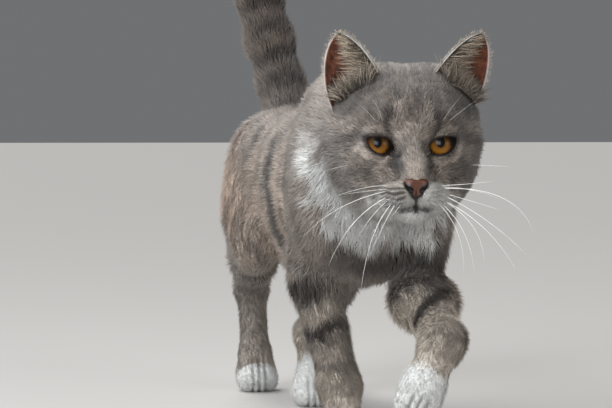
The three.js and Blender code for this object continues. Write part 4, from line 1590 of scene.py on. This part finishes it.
def build_ear_hairs(colours):
    """Long pale hairs from each ear's inner edge, lying across the cup."""
    rng = np.random.default_rng(12)
    parts = []
    for ear in EARS:
        _, up, front, across = ear_axes(ear)
        height = rng.random(EAR_HAIRS) ** 1.15 * 0.86
        angle = -EAR_SWEEP * (0.93 - 0.75 * rng.random(EAR_HAIRS) ** 1.6 * (1 - height * 0.5))
        start = ear_point(ear, height, angle, np.full(EAR_HAIRS, EAR_WALL + 0.1))
        normal = unit(ear_point(ear, height, angle, np.full(EAR_HAIRS, EAR_WALL + 1.1)) - start)
        toward = unit((across * 1.0)[None] + (unit(up) * 0.30)[None] + rng.normal(size=(EAR_HAIRS, 3)) * 0.17)
        toward = toward + front[None] * (0.40 * rng.random(EAR_HAIRS) + 0.12)[:, None]
        lie = unit(toward @ HEAD_TURN.T)
        lie = unit(lie - normal * (lie * normal).sum(1)[:, None] * 0.6)
        room = 1 - 0.62 * height
        length = rng.uniform(13, 24, EAR_HAIRS) * room
        wide = rng.uniform(0.25, 0.6, EAR_HAIRS)
        lift = rng.uniform(0.12, 0.5, EAR_HAIRS)
        pale = rng.random(EAR_HAIRS)[:, None] ** 1.6
        # Many hairs are painted dark, down to a tenth of the hair colour: a spread of tone that partly stands
        # in for the shade between the hairs.
        colour = np.array(colours.ear_hair) * (0.10 + 1.0 * pale)
        place = np.stack((0.05 + 0.9 * height, 0.5 + 0.4 * angle / EAR_SWEEP * EARS[ear][3]), 1)
        parts.append((start, normal, lie, length, wide, lift, colour, place))
        parts.append(ear_down(ear, colours, rng))
        parts.append(ear_base_hairs(ear, colours, rng))
    start, normal, lie, length, wide, lift, colour, place = (np.concatenate(group) for group in zip(*parts))
    return tuft_mesh("ear_hairs", locks, start, normal, lie, length, wide, lift, colour, place, rng)


def build_pads():
    """The pads under the lifted fore paw."""
    ball, toes = (np.array(joint, float) for joint in FORELEGS["left"][0][3:])
    forward, sideways = paw_frame(ball, toes)
    under = unit(np.cross(sideways, unit(forward)))
    if under[1] < 0:
        under = -under
    lumps = [(ball + under * 10.2 + unit(forward) * 1.5, (6.5, 2.6, 5.0))]
    for place in TOES:
        middle = toes + sideways * TOE_SPREAD * place * 1.02 + under * 6.2 + unit(forward) * 1.0
        lumps.append((middle, (2.3, 1.6, 3.0)))
    pads = []
    turn = Matrix(np.stack((sideways, under, unit(forward)), 1).tolist()).to_4x4()
    for centre, half in lumps:
        deselect()
        bpy.ops.mesh.primitive_uv_sphere_add(segments=24, ring_count=16, radius=1)
        pad = bpy.context.active_object
        place = Matrix.Translation(Vector(placed(centre)))
        pad.matrix_world = place @ turn @ Matrix.Diagonal((*(h * MM for h in half), 1))
        bpy.ops.object.transform_apply(location=True, rotation=True, scale=True)
        pads.append(pad)
    obj = joined(pads, "paw_pads")
    recalculated(obj)
    smooth(obj)
    return obj


# ---------------------------------------------------------------- materials

def material(name):
    made = bpy.data.materials.new(name)
    made.use_nodes = True
    return made, made.node_tree.nodes, made.node_tree.links, made.node_tree.nodes["Principled BSDF"]


def coat_material(name, roughness, grain):
    """Fur: its painted colour, mottled by a fine noise."""
    made, nodes, links, shader = material(name)
    paint = nodes.new("ShaderNodeAttribute")
    paint.attribute_name = "coat"
    place = nodes.new("ShaderNodeTexCoord")
    noise = nodes.new("ShaderNodeTexNoise")
    noise.inputs["Scale"].default_value = grain
    noise.inputs["Detail"].default_value = 3
    links.new(place.outputs["Object"], noise.inputs["Vector"])
    ramp = nodes.new("ShaderNodeMapRange")
    for key, value in (("From Min", 0.3), ("From Max", 0.7), ("To Min", 0.85), ("To Max", 1.15)):
        ramp.inputs[key].default_value = value
    links.new(noise.outputs["Fac"], ramp.inputs["Value"])
    scale = nodes.new("ShaderNodeVectorMath")
    scale.operation = "SCALE"
    links.new(paint.outputs["Color"], scale.inputs[0])
    links.new(ramp.outputs["Result"], scale.inputs["Scale"])
    links.new(scale.outputs["Vector"], shader.inputs["Base Color"])
    bump = nodes.new("ShaderNodeBump")
    bump.inputs["Strength"].default_value = 0.3
    bump.inputs["Distance"].default_value = 0.0004
    links.new(noise.outputs["Fac"], bump.inputs["Height"])
    links.new(bump.outputs["Normal"], shader.inputs["Normal"])
    shader.inputs["Roughness"].default_value = roughness
    shader.inputs["Specular IOR Level"].default_value = 0.25
    shader.inputs["Sheen Weight"].default_value = 0.15
    shader.inputs["Sheen Roughness"].default_value = 0.5
    return made


def nose_material(colours):
    made, nodes, links, shader = material("nose leather")
    dark = nodes.new("ShaderNodeAttribute")
    dark.attribute_name = "dark"
    place = nodes.new("ShaderNodeTexCoord")
    pebbles = nodes.new("ShaderNodeTexVoronoi")
    pebbles.inputs["Scale"].default_value = 1500
    links.new(place.outputs["Object"], pebbles.inputs["Vector"])
    mix = nodes.new("ShaderNodeMix")
    mix.data_type = "RGBA"
    mix.inputs["A"].default_value = (*colours.nose, 1)
    mix.inputs["B"].default_value = (*colours.nose_dark_and_shade, 1)
    # Mixes in the dark lower edge and the painted shade of the nostrils, their sides and the parting.
    links.new(dark.outputs["Fac"], mix.inputs["Factor"])
    links.new(mix.outputs["Result"], shader.inputs["Base Color"])
    bump = nodes.new("ShaderNodeBump")
    bump.inputs["Strength"].default_value = 0.35
    bump.inputs["Distance"].default_value = 0.0003
    links.new(pebbles.outputs["Distance"], bump.inputs["Height"])
    links.new(bump.outputs["Normal"], shader.inputs["Normal"])
    shader.inputs["Roughness"].default_value = 0.42
    return made


def eye_material(colours):
    """Amber iris with fibres, a dark limbus and an upright pupil, under a wet coat, darkened towards the top
    by a painted shadow of the upper lid.
    """
    made, nodes, links, shader = material("eye")
    spot = nodes.new("ShaderNodeAttribute")
    spot.attribute_name = "iris_place"
    split = nodes.new("ShaderNodeSeparateXYZ")
    links.new(spot.outputs["Vector"], split.inputs["Vector"])

    def maths(operation, a, b=None):
        node = nodes.new("ShaderNodeMath")
        node.operation = operation
        for index, value in enumerate((a, b)):
            if value is None:
                continue
            if isinstance(value, (int, float)):
                node.inputs[index].default_value = value
            else:
                links.new(value, node.inputs[index])
        return node.outputs[0]

    x = maths("SUBTRACT", split.outputs["X"], IRIS_AT[0])
    z = maths("SUBTRACT", split.outputs["Y"], IRIS_AT[1])
    radius = maths("SQRT", maths("ADD", maths("MULTIPLY", x, x), maths("MULTIPLY", z, z)))
    out_x, out_z = maths("DIVIDE", x, radius), maths("DIVIDE", z, radius)
    fan = nodes.new("ShaderNodeCombineXYZ")
    links.new(maths("MULTIPLY", out_x, 7.0), fan.inputs["X"])
    links.new(maths("MULTIPLY", out_z, 7.0), fan.inputs["Y"])
    links.new(maths("MULTIPLY", radius, 0.35), fan.inputs["Z"])
    fibres = nodes.new("ShaderNodeTexNoise")
    fibres.inputs["Scale"].default_value = 1.6
    fibres.inputs["Detail"].default_value = 5
    links.new(fan.outputs["Vector"], fibres.inputs["Vector"])
    ring = nodes.new("ShaderNodeValToRGB")
    ring.color_ramp.elements[0].position = 0.0
    ring.color_ramp.elements[0].color = (*colours.iris_dark, 1)
    ring.color_ramp.elements[1].position = 0.30
    ring.color_ramp.elements[1].color = (*colours.iris, 1)
    edge = (0.012, 0.008, 0.005)
    rings = ((0.62, colours.iris_pale), (0.80, colours.iris), (0.93, colours.iris_dark), (1.0, edge))
    for position, colour in rings:
        element = ring.color_ramp.elements.new(position)
        element.color = (*colour, 1)
    wave = maths("MULTIPLY", maths("SUBTRACT", fibres.outputs["Fac"], 0.5), 0.22)
    links.new(maths("ADD", maths("DIVIDE", radius, IRIS_RADIUS), wave), ring.inputs["Fac"])
    pupil_x = maths("DIVIDE", maths("SUBTRACT", split.outputs["X"], PUPIL_AT[0]), PUPIL[0])
    pupil_z = maths("DIVIDE", maths("SUBTRACT", split.outputs["Y"], PUPIL_AT[1]), PUPIL[1])
    squares = maths("MULTIPLY", pupil_x, pupil_x), maths("MULTIPLY", pupil_z, pupil_z)
    inside = maths("SQRT", maths("ADD", *squares))
    pupil = nodes.new("ShaderNodeMapRange")
    pupil.interpolation_type = "SMOOTHSTEP"
    for key, value in (("From Min", 0.92), ("From Max", 1.10), ("To Min", 1.0), ("To Max", 0.0)):
        pupil.inputs[key].default_value = value
    links.new(inside, pupil.inputs["Value"])
    mix = nodes.new("ShaderNodeMix")
    mix.data_type = "RGBA"
    mix.inputs["B"].default_value = (0.004, 0.004, 0.005, 1)
    links.new(ring.outputs["Color"], mix.inputs["A"])
    links.new(pupil.outputs["Result"], mix.inputs["Factor"])
    # Painted shadow of the upper lid: the colour darkens from the iris's lower edge to its top.
    painted_lid_shadow = nodes.new("ShaderNodeMapRange")
    painted_lid_shadow.interpolation_type = "SMOOTHSTEP"
    for key, value in (("From Min", -5.5), ("From Max", 5.5), ("To Min", 1.05), ("To Max", 0.10)):
        painted_lid_shadow.inputs[key].default_value = value
    links.new(split.outputs["Y"], painted_lid_shadow.inputs["Value"])
    shaded = nodes.new("ShaderNodeVectorMath")
    shaded.operation = "SCALE"
    links.new(mix.outputs["Result"], shaded.inputs[0])
    links.new(painted_lid_shadow.outputs["Result"], shaded.inputs["Scale"])
    links.new(shaded.outputs["Vector"], shader.inputs["Base Color"])
    shader.inputs["Roughness"].default_value = 0.5
    shader.inputs["Specular IOR Level"].default_value = 0.06
    shader.inputs["Coat Weight"].default_value = 0.16
    shader.inputs["Coat Roughness"].default_value = 0.02
    return made


def plain_material(name, colour, roughness, bump_scale, bump_distance, coat=0.0, shine=0.5):
    """A soft skin or horn of one colour, a little varied, with a fine grain."""
    made, nodes, links, shader = material(name)
    place = nodes.new("ShaderNodeTexCoord")
    noise = nodes.new("ShaderNodeTexNoise")
    noise.inputs["Scale"].default_value = bump_scale
    links.new(place.outputs["Object"], noise.inputs["Vector"])
    mix = nodes.new("ShaderNodeMix")
    mix.data_type = "RGBA"
    mix.inputs["A"].default_value = (*(0.75 * c for c in colour), 1)
    mix.inputs["B"].default_value = (*(min(1.2 * c, 0.95) for c in colour), 1)
    links.new(noise.outputs["Fac"], mix.inputs["Factor"])
    links.new(mix.outputs["Result"], shader.inputs["Base Color"])
    bump = nodes.new("ShaderNodeBump")
    bump.inputs["Strength"].default_value = 0.3
    bump.inputs["Distance"].default_value = bump_distance
    links.new(noise.outputs["Fac"], bump.inputs["Height"])
    links.new(bump.outputs["Normal"], shader.inputs["Normal"])
    shader.inputs["Roughness"].default_value = roughness
    shader.inputs["Specular IOR Level"].default_value = shine
    shader.inputs["Coat Weight"].default_value = coat
    return made


LID_COLOUR = (0.010, 0.007, 0.006)
PAD_COLOUR = (0.30, 0.13, 0.10)
WHISKER_COLOUR = (0.85, 0.84, 0.80)


def finish_piece(obj, made, slot, *nodes):
    """Gives a piece its material and its body, and hides the nodes that it stands for; the slot is not used.
    """
    obj.data.materials.clear()
    obj.data.materials.append(made)
    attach(obj, BODY)
    if nodes:
        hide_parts(*nodes)


# ---------------------------------------------------------------- the add-on

def colour_property(name, description, default):
    return FloatVectorProperty(
        name=name, description=description, subtype="COLOR", size=3, min=0, max=1, default=default
    )


class CatColours(bpy.types.PropertyGroup):
    """Colours of the coat, the nose and the eyes."""

    flank: colour_property("Flank", "Ground of the sides", (0.68, 0.55, 0.46))
    back: colour_property("Back", "Ground along the spine", (0.36, 0.318, 0.29))
    shoulder: colour_property("Shoulder", "Ground of shoulders and chest", (0.28, 0.243, 0.218))
    belly: colour_property("Belly", "Ground of the underside", (0.50, 0.44, 0.37))
    leg: colour_property("Leg", "Ground of the legs", (0.44, 0.385, 0.335))
    tail: colour_property("Tail", "Ground of the tail", (0.085, 0.060, 0.044))
    face: colour_property("Face", "Ground of the face", (0.145, 0.120, 0.102))
    # Paler fur between the ears, partly painted light from above and behind.
    crown: colour_property("Crown", "Ground between the ears", (0.44, 0.41, 0.39))
    pale: colour_property("Pale marks", "Pale marks of the face", (0.43, 0.365, 0.315))
    # Dark stripes and bands, also used for painted shade on the chest, behind the shoulder and in the ears.
    stripe_and_shade: colour_property("Stripe", "Dark stripes and bands", (0.045, 0.036, 0.031))
    white: colour_property("White", "White throat, chest and toes", (0.88, 0.885, 0.87))
    # Dark skin of the lids and lips, also painted shade round the nose leather and in the mouth's creases.
    lid_lip_and_shade: colour_property("Lip", "Edge of the mouth", (0.02, 0.014, 0.012))
    ear_back: colour_property("Ear back", "Fur of the ear's back", (0.27, 0.24, 0.22))
    # Reddish bare skin, partly painted light shining through the thin ear.
    ear_skin: colour_property("Ear skin", "Bare skin in the ear", (0.15, 0.050, 0.026))
    ear_shade: colour_property("Ear shade", "Furred side of the ear's inside", (0.055, 0.038, 0.027))
    ear_hair: colour_property("Ear hair", "Long hairs in the ear", (0.60, 0.49, 0.37))
    nose: colour_property("Nose", "Nose leather", (0.074, 0.019, 0.007))
    # Dark of the nose leather's lower edge, also the painted shade in the nostrils, beside them and in the
    # parting.
    nose_dark_and_shade: colour_property("Nose edge", "Nostrils and lower edge", (0.006, 0.004, 0.004))
    iris: colour_property("Iris", "Middle of the iris", (0.15, 0.056, 0.006))
    iris_pale: colour_property("Iris light", "Lightest ring of the iris", (0.235, 0.104, 0.012))
    iris_dark: colour_property("Iris edge", "Edges of the iris", (0.03, 0.012, 0.004))


class CatCoat(bpy.types.PropertyGroup):
    """Fineness of the skin and fullness of the coat."""

    voxel: FloatProperty(
        name="Skin fineness",
        description="Edge of the skin's voxels",
        default=0.0025,
        min=0.001,
        unit="LENGTH",
    )
    coverage: FloatProperty(
        name="Coverage", description="Layers of tufts over the skin", default=COVERAGE, min=0.1
    )
    seed: IntProperty(name="Seed", description="Start of the tufts' random draws", default=5, min=0)


class CatStage(bpy.types.PropertyGroup):
    """The studio round the cat."""

    key: FloatProperty(
        name="Sky light", description="Strength of the broad overhead light", default=3.2, min=0
    )
    fill: FloatProperty(
        name="Window light", description="Power of the window in front", default=34.0, min=0, unit="POWER"
    )
    world: FloatProperty(
        name="Surroundings", description="Strength of the pale surroundings", default=0.20, min=0
    )


class CAT_OT_skin(bpy.types.Operator):
    """Makes the skin over all the nodes of flesh, with the ears"""

    bl_idname = "cat.skin"
    bl_label = "Skin"

    def execute(self, context):
        settings = context.scene.cat_coat
        colours = context.scene.cat_colours
        body = body_skin(settings.voxel)
        paint_skin(body, colours)
        ears = [ear_skin(ear, colours) for ear in EARS]
        skin = joined([body, *ears], "skin")
        smooth(skin)
        unwrapped(skin)
        flesh = [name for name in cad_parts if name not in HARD_NODES]
        finish_piece(skin, coat_material("skin", 0.8, 900), "grey_coat", *flesh)
        return {"FINISHED"}


class CAT_OT_fur(bpy.types.Operator):
    """Covers the skin with tufts"""

    bl_idname = "cat.fur"
    bl_label = "Coat"

    def execute(self, context):
        settings = context.scene.cat_coat
        coverage = settings.coverage * 1
        colours = context.scene.cat_colours
        fur = coat_material("fur", 0.7, 700)
        pieces = scatter(bpy.data.objects["skin"], coverage, settings.seed, colours)
        for name, piece in pieces.items():
            finish_piece(piece, fur, "white_coat" if name == "coat_paws" else "grey_coat")
        hairs = build_ear_hairs(colours)
        finish_piece(hairs, fur, "grey_coat")
        return {"FINISHED"}


class CAT_OT_eyes(bpy.types.Operator):
    """Makes the eyeballs and the dark rims of the lids"""

    bl_idname = "cat.eyes"
    bl_label = "Eyes"

    def execute(self, context):
        wet = eye_material(context.scene.cat_colours)
        finish_piece(build_eye(1), wet, "eye", "eye_left")
        finish_piece(build_eye(-1), wet, "eye", "eye_right")
        rim = plain_material("lid rims", LID_COLOUR, 0.5, 1400, 0.0002, shine=0.12)
        finish_piece(build_lids(), rim, "nose_leather")
        return {"FINISHED"}


class CAT_OT_nose(bpy.types.Operator):
    """Makes the nose leather and the paw pads"""

    bl_idname = "cat.nose"
    bl_label = "Nose and pads"

    def execute(self, context):
        finish_piece(build_nose(), nose_material(context.scene.cat_colours), "nose_leather", "nose")
        leather = plain_material("pad leather", PAD_COLOUR, 0.55, 1200, 0.0003)
        finish_piece(build_pads(), leather, "nose_leather")
        return {"FINISHED"}


class CAT_OT_whiskers(bpy.types.Operator):
    """Makes the whiskers of the pads and brows"""

    bl_idname = "cat.whiskers"
    bl_label = "Whiskers"

    def execute(self, context):
        horn = plain_material("whisker", WHISKER_COLOUR, 0.4, 300, 0.0001)
        finish_piece(build_whiskers(), horn, "white_coat", *WHISKER_NODES)
        return {"FINISHED"}


CAMERA_AT = point(-302, -1572, 215)
CAMERA_WAY = point(0.180, 0.984, 0)
CAMERA_PITCH = math.radians(2.015)
LENS = 127.06
FLOOR_SIZE = 60.0
FLOOR_COLOUR = (0.46, 0.45, 0.44, 1)
SURROUNDINGS = (0.80, 0.82, 0.85, 1)
SKY_WAY = (0.35, -0.50, -1.0)  # the way the broad light shines
SKY_SPREAD = math.radians(50)
LIGHTS_AIM = (0, -0.2, 0.17)


class CAT_OT_stage(bpy.types.Operator):
    """Sets the pale floor, the soft lights and the camera"""

    bl_idname = "cat.stage"
    bl_label = "Stage"

    def execute(self, context):
        settings = context.scene.cat_stage
        deselect()
        bpy.ops.mesh.primitive_plane_add(size=FLOOR_SIZE, location=(0, 0, 0))
        floor = context.active_object
        floor.name = "floor"
        pale, _, _, shader = material("floor")
        shader.inputs["Base Color"].default_value = FLOOR_COLOUR
        shader.inputs["Roughness"].default_value = 0.8
        floor.data.materials.append(pale)

        world = bpy.data.worlds.new("studio")
        context.scene.world = world
        world.use_nodes = True
        background = world.node_tree.nodes["Background"]
        background.inputs["Color"].default_value = SURROUNDINGS
        background.inputs["Strength"].default_value = settings.world

        def area(name, spot, power, colour):
            light = bpy.data.lights.new(name, "AREA")
            light.shape = "RECTANGLE"
            light.size = light.size_y = 0.9
            light.energy = power
            light.color = colour
            obj = bpy.data.objects.new(name, light)
            context.scene.collection.objects.link(obj)
            obj.location = spot
            obj.rotation_euler = (Vector(LIGHTS_AIM) - Vector(spot)).to_track_quat("-Z", "Y").to_euler()

        sky = bpy.data.lights.new("sky", "SUN")
        sky.energy = settings.key
        sky.angle = SKY_SPREAD
        sky.color = (1.0, 0.99, 0.97)
        overhead = bpy.data.objects.new("sky", sky)
        context.scene.collection.objects.link(overhead)
        overhead.rotation_euler = Vector(SKY_WAY).to_track_quat("-Z", "Y").to_euler()
        area("window", (-1.25, -1.15, 0.95), settings.fill, (0.95, 0.98, 1.0))
        area("soft", (1.0, -1.5, 0.8), settings.fill * 0.35, (1.0, 0.99, 0.97))

        lens = bpy.data.cameras.new("camera")
        lens.lens = LENS
        lens.sensor_width = 36
        camera = bpy.data.objects.new("camera", lens)
        context.scene.collection.objects.link(camera)
        camera.location = Vector(placed(CAMERA_AT))
        way = unit(CAMERA_WAY) * math.cos(CAMERA_PITCH) - point(0, 0, math.sin(CAMERA_PITCH))
        camera.rotation_euler = Vector(way).to_track_quat("-Z", "Y").to_euler()
        context.scene.camera = camera
        context.scene.view_settings.view_transform = "Standard"
        return {"FINISHED"}


STEPS = ("stage", "skin", "eyes", "nose", "whiskers", "fur")


class CAT_PT_panel(bpy.types.Panel):
    """Lists the steps and their settings"""

    bl_label = "Walking cat"
    bl_idname = "CAT_PT_panel"
    bl_space_type = "VIEW_3D"
    bl_region_type = "UI"
    bl_category = "Cat"

    def draw(self, context):
        layout = self.layout
        for group in (context.scene.cat_coat, context.scene.cat_stage, context.scene.cat_colours):
            box = layout.box()
            for name in group.__annotations__:
                box.prop(group, name)
        for step in STEPS:
            layout.operator("cat." + step)


GROUPS = (CatColours, CatCoat, CatStage)
OPERATORS = (CAT_OT_skin, CAT_OT_fur, CAT_OT_eyes, CAT_OT_nose, CAT_OT_whiskers, CAT_OT_stage)


def register():
    for kind in (*GROUPS, *OPERATORS, CAT_PT_panel):
        bpy.utils.register_class(kind)
    bpy.types.Scene.cat_colours = PointerProperty(type=CatColours)
    bpy.types.Scene.cat_coat = PointerProperty(type=CatCoat)
    bpy.types.Scene.cat_stage = PointerProperty(type=CatStage)


def unregister():
    del bpy.types.Scene.cat_stage
    del bpy.types.Scene.cat_coat
    del bpy.types.Scene.cat_colours
    for kind in reversed((*GROUPS, *OPERATORS, CAT_PT_panel)):
        bpy.utils.unregister_class(kind)


def main():
    register()
    for step in STEPS:
        getattr(bpy.ops.cat, step)()


if __name__ == "__main__":
    main()
